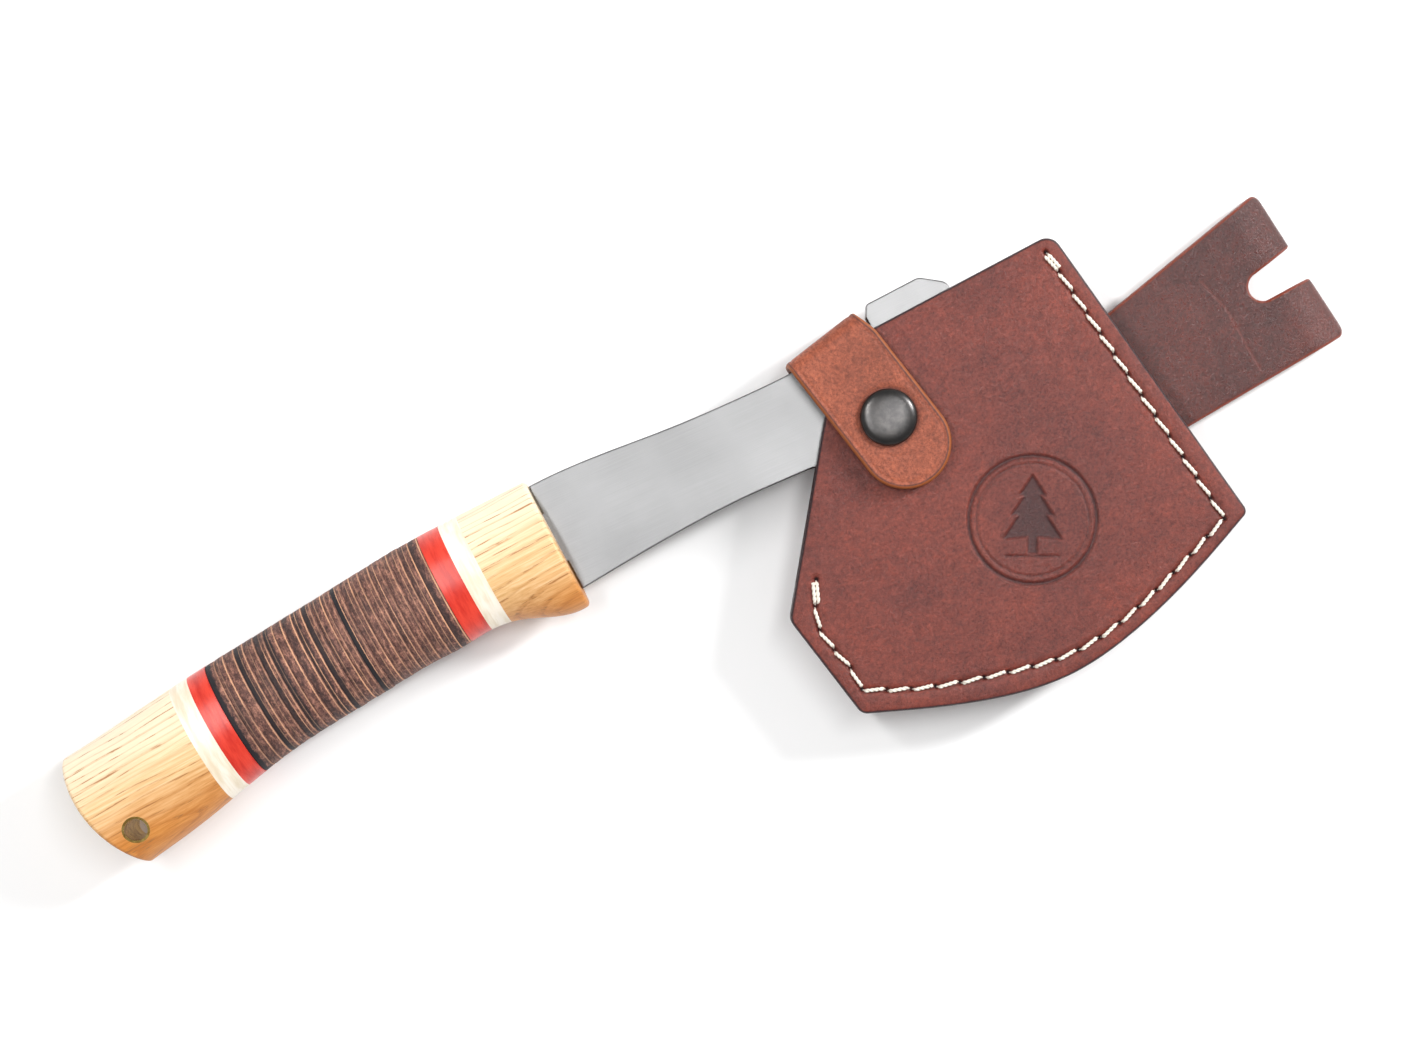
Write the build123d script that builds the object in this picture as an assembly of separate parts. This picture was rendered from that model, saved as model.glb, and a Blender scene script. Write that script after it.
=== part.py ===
from build123d import *
import math
import os

# A forged belt hatchet in its leather sheath. The origin is the centre of the lanyard hole at
# the middle of the blade's thickness. +X runs along the handle to the head, +Y to the spine
# and poll, so the cutting edge faces -Y, and +Z comes out of the sheath's snap side.
# Millimetres.

# ---- driving dimensions -------------------------------------------------------------------
BLADE_THICK = 6.0
EDGE_BREAK = 0.4                # small rounding of the plate's edges
EDGE_RADIUS = 95.0              # cutting edge, an arc about EDGE_CENTRE
EDGE_CENTRE = (236.0, 27.5)
BEVEL_LENGTH = 18.0
EDGE_LAND = 0.5                 # thickness left at the very edge

GRIP_STATIONS = [               # along the handle, and the heights of its back and its belly
    (-14, 25.0, -12.6), (10, 26.8, -7.3), (30, 28.8, -3.4), (50, 30.2, -0.3), (70, 31.5, 1.0),
    (88, 32.7, 2.0), (103, 32.9, 2.5), (111, 32.8, 1.5), (118, 32.7, -1.3), (125, 32.6, -3.7),
    (134, 32.6, -3.2),
]
GRIP_HALF_DEPTH = 12.5          # half of the handle's size along Z
BUTT_CORNERS = ((-10.2, 24.5), (-2.2, -9.3))
BUTT_MIDDLE = (-10.3, 9.0)
GRIP_FRONT = 129.8
BUTT_ROUNDING = 1.0
FRONT_ROUNDING = 1.2
TANG_GAP = 0.1                  # round the tang in every piece of the handle
RING_TILT = 2.4                 # degrees, of the rearmost joints, none at the front
POMMEL_END = 23.5               # where each piece of the stack ends, on the handle's middle
REAR_WHITE_END = 29.0
REAR_RED_END = 34.5
LEATHER_END = 98.2
FRONT_RED_END = 104.3
FRONT_WHITE_END = 109.7
WASHER_COUNT = 22

TUBE_OUTER_R = 3.5
TUBE_INNER_R = 2.9
TANG_EYE_R = 5.8

LEATHER = 2.8                   # sheath panels
POCKET = 6.8                    # between the two panels, and the welt's thickness
SLIDE_LEAN = 7.0                # degrees between +Y and the way the hatchet is drawn
WELT_LEFT = (191.4, -57.0)      # a point on the pocket's left side, beside the heel
WELT_RIGHT = (279.9, -57.0)     # a point on its right side, beside the toe
WELT_MOUTH = -24.0              # height where the left welt stops
POCKET_CLEARANCE = 0.6          # between the cutting edge and the bottom welt
PANEL_EDGE = 0.8                # rounding of the panels' outer edges

THREAD = 1.1
STITCH_HEIGHT = 0.7
STITCH_SINK = 0.5               # how deep the thread lies in its groove
HOLE_R = 0.6

STRAP_ANGLE = -80.0             # from +X to the way the strap points
STRAP_ORIGIN = (215.06, 29.19)  # middle of the strap's outer fold
STRAP_THICK = 2.0
STRAP_HALF_WIDTH = 11.9
STRAP_LENGTH = 46.6             # fold to tip
STRAP_BEND = 3.0                # bend radius at the leather's middle
SNAP_GAP = 2.4                  # between the front panel and the flap, filled by the snap
TAIL_LENGTH = 30.0
SNAP_PLACE = (26.9, 0.65)       # along and across the strap

CAP_R = 7.4
CAP_HEIGHT = 2.2
SOCKET_R = 6.2
SOCKET_BORE_R = 3.25
SOCKET_HEIGHT = 1.7
STUD_FLANGE_R = 5.5
STUD_FLANGE = 0.5
KNOB_R = 3.0
KNOB_HEIGHT = 1.9
POST_R = 1.6
POST_FLANGE_R = 5.0
POST_FLANGE = 0.6
CAP_SHANK_R = 2.0
RIVET_R = 1.5
RIVET_HEAD_R = 4.5
RIVET_DOME = 1.1
TAIL_RIVETS = ((12, 0), (24, 0))    # along and across the strap
LOOP_RIVETS = ((-86, -9), (-86, 5), (-72, -9), (-72, 5))    # along and across the loop's strip
FIT_GAP = 0.05                  # round the shanks in their holes

LOOP_LEATHER = 2.3
LOOP_GAP = 4.6                  # room for a belt between the loop's two layers
LOOP_ROLL_R = 14.0              # the front layer rolls over before the fold, at its middle
LOOP_ROLL_TURN = 40.0           # degrees of that roll, the tighter fold turns the rest
LOOP_EASE_R = 6.0               # where the rear layer comes up to be riveted
LOOP_RAMP = (-56.0, -66.0)      # along the strip, where it comes up
LOOP_ANGLE = 5.0                # degrees between the loop strip and +X
LOOP_END = (336.7, -12.6)       # middle of the fold
LOOP_LENGTH = 92.0
LOOP_LEFT = (12.2, 22.5)        # across the strip to its left edge, at the rivets and at the fold
LOOP_RIGHT = (-17.6, -21.6)     # and to its right edge
LOOP_CORNER = 3.0
NOTCH_DEPTH = 16.3
NOTCH_WIDTH = 7.7               # at its round end, and a little more at the fold
NOTCH_FLARE = 0.95              # how much wider each side gets towards the fold
NOTCH_OFFSET = 0.8              # across the strip, from its middle at the fold

# ---- heights worked out from them ---------------------------------------------------------
BLADE_TOP = BLADE_THICK / 2
PANEL_IN = POCKET / 2
PANEL_OUT = PANEL_IN + LEATHER
FLAP_LOW = PANEL_OUT + SNAP_GAP
FLAP_TOP = FLAP_LOW + STRAP_THICK
FLAP_MID = FLAP_LOW + STRAP_THICK / 2
BACK_GAP = 0.1                  # between layers that are riveted together
LOOP_STANDOFF = 0.3             # the loop clears the stitches it crosses
TAIL_MID = -PANEL_OUT - BACK_GAP - STRAP_THICK / 2
LOOP_FRONT_MID = -PANEL_OUT - LOOP_STANDOFF - LOOP_LEATHER / 2
LOOP_REAR_MID = LOOP_FRONT_MID - LOOP_LEATHER - LOOP_GAP
LOOP_STACK_MID = LOOP_FRONT_MID - LOOP_LEATHER - BACK_GAP
ROLL_COS = math.cos(math.radians(LOOP_ROLL_TURN))
ROLL_SIN = math.sin(math.radians(LOOP_ROLL_TURN))
LOOP_FOLD_R = (LOOP_LEATHER + LOOP_GAP - LOOP_ROLL_R * (1 - ROLL_COS)) / (1 + ROLL_COS)

SLIDE_DIRECTION = Vector(0, 1, 0).rotate(Axis.Z, SLIDE_LEAN)
STRAP_FRAME = Pos(*STRAP_ORIGIN, 0) * Rot(0, 0, STRAP_ANGLE)
LOOP_FRAME = Pos(*LOOP_END, 0) * Rot(0, 0, LOOP_ANGLE)

os.makedirs("parts", exist_ok=True)


# ---- small helpers ------------------------------------------------------------------------
def save(name, shape):
    """Write one node of the assembly."""
    export_step(shape, f"parts/{name}.step")


def slab(sketch, low, high):
    """A flat sketch in the XY plane, thickened from one height to another."""
    return extrude(Pos(0, 0, low) * sketch, high - low, dir=(0, 0, 1))


def disc(radius, low, high, place=(0, 0)):
    """A round solid standing on the XY plane's normal."""
    return slab(Pos(*place, 0) * Circle(radius), low, high)


def corners_near(sketch, *places):
    """The sketch's corners that lie nearest to the given places."""
    corners = sketch.vertices()
    return [min(corners, key=lambda v: (v.center() - Vector(*p)).length) for p in places]


def rim(solid, height):
    """The edges of a slab's flat face at one height."""
    faces = [f for f in solid.faces() if abs(f.center().Z - height) < 1e-3]
    return max(faces, key=lambda f: f.area).outer_wire().edges()


def domed_head(radius, height, base):
    """A shallow dome on a short rim, as on rivets and snap caps, rising along +Z from base."""
    edge = 0.35 * height
    rise = height - edge
    sphere = (radius**2 + rise**2) / (2 * rise)
    return disc(radius, base, base + height) & Pos(0, 0, base + height - sphere) * Sphere(sphere)


# ---- blade, shank and tang ----------------------------------------------------------------
def head_sketch():
    """Outline of the shank and head, clockwise from the spine at the handle."""
    edge_x, edge_y = EDGE_CENTRE
    heel = (192.2, -56.7)
    toe = (278.4, -57.4)
    lowest = (edge_x, edge_y - EDGE_RADIUS)
    poll = ((227.7, 24.6), (227.7, 28.4), (229.4, 31.4), (244.6, 31.3), (250.4, 27.0), (251.6, 19))
    spine = Spline((130.05, 30.8), (150, 29.5), (170, 27.0), (190, 25.4), (206, 24.8),
                   tangents=((1, 0), (1, -0.01)))
    outline = make_face([
        spine,
        Polyline(spine @ 1, *poll),
        Spline(poll[-1], (256.5, -20), toe, tangents=((0.1, -1), (0.75, -1))),
        ThreePointArc(toe, lowest, heel),
        Spline(heel, (200.5, -34), (205, -13), tangents=((0.4, 1), (0.02, 1))),
        Spline((205, -13), (202.9, -3.6), (196, 0.6), tangents=((0.02, 1), (-1, 0.08))),
        Spline((196, 0.6), (180, 1.8), (165, 2.15), (148, 1.7), (130.05, 0.8),
               tangents=((-1, 0.08), (-1, -0.06))),
        Line((130.05, 0.8), (130.05, 30.8)),
    ])
    outline = fillet(corners_near(outline, poll[0]), 2)
    outline = fillet(corners_near(outline, poll[1], poll[2]), 1)
    return fillet(corners_near(outline, poll[3], poll[4]), 3)


def tang_sketch(grow=0.0):
    """The tang, from inside the shank to the eye round the lanyard tube."""
    upper = Spline((132, 22.6 + grow), (100, 22.9 + grow), (60, 20.2 + grow), (30, 15.0 + grow),
                   (2, 5.7 + grow))
    lower = Spline((132, 9.0 - grow), (100, 9.6 - grow), (60, 7.2 - grow), (30, 2.2 - grow),
                   (2, -5.3 - grow))
    strip = make_face([upper, lower, Line(upper @ 0, lower @ 0), Line(upper @ 1, lower @ 1)])
    return strip + Circle(TANG_EYE_R + grow)


def make_blade():
    """Shank and head with their bevel, and the tang with its eye, as one forged plate."""
    head = slab(head_sketch(), -BLADE_TOP, BLADE_TOP)
    head = fillet(rim(head, BLADE_TOP) + rim(head, -BLADE_TOP), EDGE_BREAK)
    inner = EDGE_RADIUS - BEVEL_LENGTH
    outer = EDGE_RADIUS + 2
    above = make_face(Polyline((inner, BLADE_TOP), (inner, BLADE_TOP + 1), (outer, BLADE_TOP + 1),
                               (outer, EDGE_LAND / 2), (EDGE_RADIUS, EDGE_LAND / 2), close=True))
    ring = revolve(Rot(90, 0, 0) * above, Axis.Z)
    sector = make_face(Polyline((0, 0), (-160, -150), (160, -150), close=True))
    ring = Pos(*EDGE_CENTRE, 0) * (ring & slab(sector, 0, BLADE_TOP + 2))
    head = head - ring - mirror(ring, Plane.XY)
    tang = slab(tang_sketch(), -BLADE_TOP, BLADE_TOP)
    return head + tang - disc(TUBE_OUTER_R + FIT_GAP, -BLADE_TOP, BLADE_TOP)


# ---- handle -------------------------------------------------------------------------------
def grip_blank():
    """The whole handle as one smooth oval body, flared into a finger stop at the front."""
    sections = []
    for x, top, bottom in GRIP_STATIONS:
        oval = Ellipse((top - bottom) / 2, GRIP_HALF_DEPTH)
        sections.append(Plane((x, (top + bottom) / 2, 0), x_dir=(0, 1, 0), z_dir=(1, 0, 0)) * oval)
    body = loft(sections)
    # seen from the side, the butt is a shallow arc with rounded corners
    high, low = BUTT_CORNERS
    arc = ThreePointArc(high, BUTT_MIDDLE, low)
    around = Polyline(low, (0, -20), (GRIP_FRONT, -20), (GRIP_FRONT, 45), (high[0], 45), high)
    cut = slab(fillet(corners_near(make_face([arc, around]), high, low), 4), -20, 20)
    return body & cut


def round_butt(pommel):
    """Round the rim of the butt."""
    rear = [e for e in pommel.edges() if e.bounding_box().max.X < 0 and e.length > 2]
    return fillet([e for e in rear if e.center().length > TANG_EYE_R + 1], BUTT_ROUNDING)


def round_front(bolster):
    """Round the outer rim of the handle's front face."""
    front = [e for e in bolster.edges() if e.bounding_box().min.X > GRIP_FRONT - 0.1]
    return fillet(max(front, key=lambda e: e.length), FRONT_ROUNDING)


def stack_plane(x):
    """The joint between two pieces of the handle, square at the front and tilted at the rear."""
    along = (LEATHER_END - x) / (LEATHER_END - REAR_RED_END)
    tilt = RING_TILT * min(max(along, 0), 1)
    normal = Vector(1, 0, 0).rotate(Axis.Z, tilt)
    return Plane((x, 13, 0), z_dir=normal)


def make_handle():
    """Every piece threaded on the tang, from the pommel to the front bolster."""
    half = BLADE_TOP + TANG_GAP
    blank = grip_blank() - slab(tang_sketch(TANG_GAP), -half, half)
    washer = (LEATHER_END - REAR_RED_END) / WASHER_COUNT
    ends = {
        "pommel": POMMEL_END,
        "rear_white_spacer": REAR_WHITE_END,
        "rear_red_spacer": REAR_RED_END,
    }
    for n in range(1, WASHER_COUNT + 1):
        ends[f"leather_washer_{n:02}"] = REAR_RED_END + n * washer
    ends["front_red_spacer"] = FRONT_RED_END
    ends["front_white_spacer"] = FRONT_WHITE_END
    pieces = {}
    rest = blank
    for name, x in ends.items():
        plane = stack_plane(x)
        pieces[name] = split(rest, plane, Keep.BOTTOM)
        rest = split(rest, plane, Keep.TOP)
    pieces["front_bolster"] = round_front(rest)
    pieces["pommel"] = round_butt(pieces["pommel"] - disc(TUBE_OUTER_R, -20, 20))
    return pieces


def make_tube():
    """Brass tube through the pommel and the tang's eye, ground flush with the wood."""
    return (disc(TUBE_OUTER_R, -20, 20) - disc(TUBE_INNER_R, -20, 20)) & grip_blank()


# ---- sheath -------------------------------------------------------------------------------
def sheath_sketch():
    """Outline of both panels: a long slanted mouth on the left, a short one on top."""
    right_top = (280.05, 25)
    right_low = (291.2, -62.2)
    left_low = (178.6, -61.6)
    left_top = (173.5, -31.6)
    bottom = Spline(right_low, (270, -70.4), (250, -76.0), (232, -78.0), (208, -73.4), left_low)
    outline = make_face([
        Polyline((217.3, 25), right_top, right_low),
        bottom,
        Polyline(left_low, left_top, (217.3, 25)),
    ])
    outline = fillet(corners_near(outline, (217.3, 25)), 6)
    outline = fillet(corners_near(outline, right_top, left_top), 4)
    outline = fillet(corners_near(outline, left_low), 3)
    return fillet(corners_near(outline, right_low), 2)


def pocket_sketch():
    """The space between the panels that the head fills and is drawn out through."""
    def beside(point, y):
        step = SLIDE_DIRECTION * ((y - point[1]) / SLIDE_DIRECTION.Y)
        return (point[0] + step.X, y)

    lowest = (EDGE_CENTRE[0], EDGE_CENTRE[1] - EDGE_RADIUS - POCKET_CLEARANCE)
    floor = ThreePointArc(WELT_RIGHT, lowest, WELT_LEFT)
    mouth = beside(WELT_LEFT, WELT_MOUTH)
    top = beside(WELT_RIGHT, 60)
    return make_face([floor, Polyline(WELT_LEFT, mouth, (140, WELT_MOUTH), (140, 60), top, WELT_RIGHT)])


def stitch_holes():
    """Middles of the awl holes, in order, down the right side, along the bottom and up the left."""
    right = Line((277.1, 15.4), (284.9, -61.0))
    bottom = Spline(right @ 1, (266, -67.4), (247, -72.3), (234.5, -73.2), (216, -69.5),
                    (198.2, -64.0), (181.6, -56.0))
    left = Spline(bottom @ 1, (179.8, -42.5), (179.2, -36.0), (181.0, -31.4))
    holes = [Vector(276.5, 21.4)]
    for run, count in ((right, 12), (bottom, 17), (left, 4)):
        holes += [run @ (n / count) for n in range(count)]
    return holes + [left @ 1, Vector(184.5, -25.4)]


def stitch_bars(holes, grow=0.0):
    """Flat outline of the thread seen from the front: one bar between each pair of holes."""
    bars = []
    for n in range(len(holes) - 1):
        double = n in (0, len(holes) - 2)
        span = holes[n + 1] - holes[n]
        width = THREAD * (1.7 if double else 1.0)
        turn = Vector(1, 0, 0).get_signed_angle(span, Vector(0, 0, 1))
        middle = (holes[n] + holes[n + 1]) / 2
        bar = SlotOverall(span.length - 0.1 + grow, width + grow)
        bars.append(Pos(middle.X, middle.Y) * Rot(0, 0, turn) * bar)
    return bars


def make_stitching(holes):
    """The sewing thread: its bars on both sides of the sheath, and the legs between them."""
    low = PANEL_OUT - STITCH_SINK
    thread = [slab(bar, low, low + STITCH_HEIGHT) for bar in stitch_bars(holes)]
    thread += [mirror(bar, Plane.XY) for bar in thread]
    thread += [disc(HOLE_R - FIT_GAP, -low, low, (h.X, h.Y)) for h in holes]
    return Compound(children=[piece.solid() for piece in thread])


def make_panels(holes):
    """Front and back panels and the three lengths of welt that are sewn between them."""
    outline = sheath_sketch()
    awl = Sketch() + [Pos(h.X, h.Y) * Circle(HOLE_R) for h in holes]
    punched = slab(awl, -PANEL_OUT - 1, PANEL_OUT + 1)
    groove = Sketch() + stitch_bars(holes, FIT_GAP)
    groove = slab(groove, PANEL_OUT - STITCH_SINK - FIT_GAP, PANEL_OUT + 1)
    front = fillet(rim(slab(outline, PANEL_IN, PANEL_OUT), PANEL_OUT), PANEL_EDGE)
    back = mirror(front - groove, Plane.XY) - punched
    front = front - groove - punched
    welt = slab(outline - pocket_sketch(), -PANEL_IN, PANEL_IN) - punched
    right_corner = Plane((284.9, -61.0, 0), z_dir=(1, 1, 0))
    left_corner = Plane((181.6, -56.0, 0), z_dir=(-1, 1, 0))
    right = split(welt, right_corner, Keep.TOP)
    rest = split(welt, right_corner, Keep.BOTTOM)
    left = split(rest, left_corner, Keep.TOP)
    bottom = split(rest, left_corner, Keep.BOTTOM)
    return front, back, right, bottom, left


# ---- retaining strap and snap -------------------------------------------------------------
def strap_parts():
    """The strap in its own frame: the tail behind, the side round the spine, the flap in front."""
    side_mid = STRAP_THICK / 2
    path = FilletPolyline((TAIL_LENGTH, TAIL_MID), (side_mid, TAIL_MID), (side_mid, FLAP_MID),
                          (STRAP_LENGTH, FLAP_MID), radius=STRAP_BEND)
    profile = trace(path, STRAP_THICK)
    strip = extrude(Rot(90, 0, 0) * profile, 20, both=True)
    round_at = STRAP_LENGTH - STRAP_HALF_WIDTH
    plan = make_face([
        Polyline((round_at, STRAP_HALF_WIDTH), (6, STRAP_HALF_WIDTH), (-1, STRAP_HALF_WIDTH - 1.8),
                 (-1, -STRAP_HALF_WIDTH), (round_at, -STRAP_HALF_WIDTH)),
        ThreePointArc((round_at, -STRAP_HALF_WIDTH), (STRAP_LENGTH, 0), (round_at, STRAP_HALF_WIDTH)),
    ])
    strip = strip & slab(plan, -20, 20)
    bend_end = Plane((side_mid + STRAP_BEND, 0, 0), z_dir=(1, 0, 0))
    side = split(strip, bend_end, Keep.BOTTOM)
    flat = split(strip, bend_end, Keep.TOP)
    flap = split(flat, Plane.XY, Keep.TOP)
    tail = split(flat, Plane.XY, Keep.BOTTOM)
    return tail, side, flap


def make_snap():
    """Cap and socket on the flap, stud and post on the front panel, about the snap's own axis."""
    cap = domed_head(CAP_R, CAP_HEIGHT, FLAP_TOP)
    knob_top = PANEL_OUT + KNOB_HEIGHT
    cap = cap + disc(CAP_SHANK_R, knob_top + 0.2, FLAP_TOP)
    socket_low = FLAP_LOW - SOCKET_HEIGHT
    socket = disc(SOCKET_R, socket_low, FLAP_LOW) - disc(SOCKET_BORE_R, socket_low, FLAP_LOW - 0.3)
    socket = socket - disc(CAP_SHANK_R + FIT_GAP, socket_low, FLAP_LOW)
    stud = disc(STUD_FLANGE_R, PANEL_OUT, PANEL_OUT + STUD_FLANGE) + disc(KNOB_R, PANEL_OUT, knob_top)
    stud = fillet(stud.edges().sort_by(Axis.Z)[-1], 0.4)
    stud = stud - disc(POST_R + FIT_GAP, PANEL_OUT, knob_top - 0.5)
    post = disc(POST_FLANGE_R, PANEL_IN, PANEL_IN + POST_FLANGE) + disc(POST_R, PANEL_IN, knob_top - 0.6)
    return cap, socket, stud, post


def rivet(outer_face, inner_face):
    """A rivet along -Z: a domed cap on the outside, and a flat head let into the panel inside."""
    cap = mirror(domed_head(RIVET_HEAD_R, RIVET_DOME, -outer_face), Plane.XY)
    shank = disc(RIVET_R, outer_face, inner_face)
    return cap + shank + disc(RIVET_HEAD_R - 1, inner_face - POST_FLANGE, inner_face)


def rivet_space(outer_face, inner_face):
    """What one rivet needs cut away: its hole, and the pocket of the inner head."""
    hole = disc(RIVET_R + FIT_GAP, outer_face - 1, inner_face + 1)
    return hole + disc(RIVET_HEAD_R - 1 + FIT_GAP, inner_face - POST_FLANGE - FIT_GAP, inner_face + 1)


# ---- belt loop ----------------------------------------------------------------------------
def loop_line():
    """Middle of the strip's thickness, seen from its side: flat, rolled over and folded back."""
    reach = (LOOP_ROLL_R - LOOP_FOLD_R) * ROLL_SIN + LOOP_FOLD_R
    front = Line((-LOOP_LENGTH, LOOP_FRONT_MID), (-LOOP_LEATHER / 2 - reach, LOOP_FRONT_MID))
    roll = JernArc(front @ 1, front % 1, LOOP_ROLL_R, -LOOP_ROLL_TURN)
    fold = JernArc(roll @ 1, roll % 1, LOOP_FOLD_R, LOOP_ROLL_TURN - 180)
    ramp_low, ramp_high = LOOP_RAMP
    rear = FilletPolyline(fold @ 1, (ramp_low, LOOP_REAR_MID), (ramp_high, LOOP_STACK_MID),
                          (-LOOP_LENGTH, LOOP_STACK_MID), radius=LOOP_EASE_R)
    return Curve() + [front, roll, fold, rear]


def make_loop():
    """One strip folded back on itself, notched through the fold, in the strip's own frame."""
    strip = extrude(Rot(90, 0, 0) * trace(loop_line(), LOOP_LEATHER), 40, both=True)
    left_near, left_far = LOOP_LEFT
    right_near, right_far = LOOP_RIGHT
    plan = make_face(Polyline((-LOOP_LENGTH, left_near), (1, left_far), (1, right_far),
                              (-LOOP_LENGTH, right_near), close=True))
    plan = fillet(corners_near(plan, (1, left_far), (1, right_far)), LOOP_CORNER)
    half = NOTCH_WIDTH / 2
    round_end = -NOTCH_DEPTH + half
    notch = Pos(round_end, NOTCH_OFFSET) * Circle(half)
    notch += make_face(Polyline((round_end, NOTCH_OFFSET + half),
                                (2, NOTCH_OFFSET + half + NOTCH_FLARE),
                                (2, NOTCH_OFFSET - half - NOTCH_FLARE),
                                (round_end, NOTCH_OFFSET - half), close=True))
    return strip & slab(plan - notch, -25, 0)


# ---- assembly -----------------------------------------------------------------------------
def build():
    """Make every piece, cut the holes its fasteners need, and write it as a node."""
    save("axe_blade", make_blade())
    save("lanyard_tube", make_tube())
    for name, piece in make_handle().items():
        save(name, piece)

    holes = stitch_holes()
    front, back, right, bottom, left = make_panels(holes)
    save("sheath_stitching", make_stitching(holes))
    save("welt_right", right)
    save("welt_bottom", bottom)
    save("welt_left", left)

    snap_frame = STRAP_FRAME * Pos(*SNAP_PLACE, 0)
    tail, side, flap = strap_parts()
    cap, socket, stud, post = [snap_frame * piece for piece in make_snap()]
    post_space = disc(POST_R + FIT_GAP, 0, 10)
    post_space += disc(POST_FLANGE_R + FIT_GAP, 0, PANEL_IN + POST_FLANGE)
    front -= snap_frame * post_space
    flap = STRAP_FRAME * flap - snap_frame * disc(CAP_SHANK_R + FIT_GAP, 0, 20)
    save("sheath_front_panel", front)
    save("strap_flap", flap)
    save("strap_side", STRAP_FRAME * side)
    save("snap_cap", cap)
    save("snap_socket", socket)
    save("snap_stud", stud)
    save("snap_post", post)

    tail_face = TAIL_MID - STRAP_THICK / 2
    loop_face = LOOP_STACK_MID - LOOP_LEATHER / 2
    tail_places = [STRAP_FRAME * Pos(*spot, 0) for spot in TAIL_RIVETS]
    loop_places = [LOOP_FRAME * Pos(*spot, 0) for spot in LOOP_RIVETS]
    tail_space = Part() + [place * rivet_space(tail_face, -PANEL_IN) for place in tail_places]
    loop_space = Part() + [place * rivet_space(loop_face, -PANEL_IN) for place in loop_places]
    save("strap_tail", STRAP_FRAME * tail - tail_space)
    save("belt_loop", LOOP_FRAME * make_loop() - loop_space)
    save("sheath_back_panel", back - tail_space - loop_space)
    tail_rivet = rivet(tail_face, -PANEL_IN)
    loop_rivet = rivet(loop_face, -PANEL_IN)
    save("strap_rivets", Compound(children=[place * tail_rivet for place in tail_places]))
    save("belt_loop_rivets", Compound(children=[place * loop_rivet for place in loop_places]))


build()
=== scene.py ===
import random
from math import atan2, copysign, cos, pi, radians, sin, sqrt, tan, tau

import bmesh
import bpy
import numpy as np
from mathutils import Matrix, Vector
from mathutils.bvhtree import BVHTree
from mathutils.geometry import delaunay_2d_cdt
from numpy.linalg import norm


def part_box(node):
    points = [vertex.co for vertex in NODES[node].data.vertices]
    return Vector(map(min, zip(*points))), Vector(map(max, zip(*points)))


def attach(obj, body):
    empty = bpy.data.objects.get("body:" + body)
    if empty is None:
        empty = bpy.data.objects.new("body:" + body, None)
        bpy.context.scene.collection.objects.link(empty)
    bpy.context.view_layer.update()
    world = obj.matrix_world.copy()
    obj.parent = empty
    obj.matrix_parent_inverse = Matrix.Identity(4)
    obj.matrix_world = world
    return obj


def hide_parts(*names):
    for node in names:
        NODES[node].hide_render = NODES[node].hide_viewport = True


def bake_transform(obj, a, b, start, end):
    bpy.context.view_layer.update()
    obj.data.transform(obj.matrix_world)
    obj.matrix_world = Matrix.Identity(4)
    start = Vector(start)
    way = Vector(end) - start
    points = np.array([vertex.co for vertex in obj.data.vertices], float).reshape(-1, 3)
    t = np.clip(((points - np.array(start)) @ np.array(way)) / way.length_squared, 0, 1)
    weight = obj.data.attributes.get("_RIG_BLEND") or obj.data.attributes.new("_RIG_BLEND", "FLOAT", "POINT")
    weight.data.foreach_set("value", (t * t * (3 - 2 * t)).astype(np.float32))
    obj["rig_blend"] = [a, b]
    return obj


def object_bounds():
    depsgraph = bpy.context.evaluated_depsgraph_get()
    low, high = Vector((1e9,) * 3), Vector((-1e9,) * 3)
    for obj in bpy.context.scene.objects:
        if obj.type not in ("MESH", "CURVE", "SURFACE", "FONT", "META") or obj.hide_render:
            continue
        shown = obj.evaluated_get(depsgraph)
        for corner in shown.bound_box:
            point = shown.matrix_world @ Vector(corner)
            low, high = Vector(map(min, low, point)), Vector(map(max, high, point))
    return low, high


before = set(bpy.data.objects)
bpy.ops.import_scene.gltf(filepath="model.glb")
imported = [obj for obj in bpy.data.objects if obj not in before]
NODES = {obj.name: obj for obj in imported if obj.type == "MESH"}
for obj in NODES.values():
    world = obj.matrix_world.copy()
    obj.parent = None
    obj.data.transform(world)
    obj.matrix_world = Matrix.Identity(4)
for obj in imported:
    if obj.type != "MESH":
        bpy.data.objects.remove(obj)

# Looks for a belt hatchet in its leather sheath. Lengths here are millimetres in the frame of the
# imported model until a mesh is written, which is in metres.
CAD_BOX = [list(corner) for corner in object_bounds()]
MM = 0.001
random.seed(7)


# ---- reading the frame
def box(node):
    """Lowest and highest corner of a CAD node, in millimetres."""
    low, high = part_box(node)
    return np.array(low) / MM, np.array(high) / MM


def middle(node):
    """Middle of a CAD node's box, in millimetres."""
    low, high = box(node)
    return (low + high) / 2


def outline(node, height):
    """The outer loop of a node's flat face at one height, anticlockwise."""
    mesh = NODES[node].data
    points = np.array([v.co for v in mesh.vertices]) / MM
    flat = np.abs(points[:, 2] - height) < 0.005
    key = [tuple(p) for p in np.round(points[:, :2], 3)]
    once = {}
    for face in mesh.polygons:
        ids = list(face.vertices)
        if flat[ids].all():
            for a, b in zip(ids, ids[1:] + ids[:1]):
                if once.pop((key[b], key[a]), None) is None:
                    once[key[a], key[b]] = True
    follow = dict(once.keys())
    loops = []
    while follow:
        start, here = next(iter(follow.items()))
        del follow[start]
        loop = [start]
        while here in follow:
            loop.append(here)
            here = follow.pop(here)
        loops.append(np.array(loop))
    best = max(loops, key=lambda l: abs(area(l)))
    return best if area(best) > 0 else best[::-1]


def area(loop):
    """Area inside a loop, positive when it runs anticlockwise."""
    x, y = loop[:, 0], loop[:, 1]
    return 0.5 * float(np.sum(x * np.roll(y, -1) - y * np.roll(x, -1)))


SHARP = 0.3  # sine of the turn from which a point of a loop is a corner
CROWDED = 0.35  # of a step, the least distance between points that aren't corners


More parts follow.
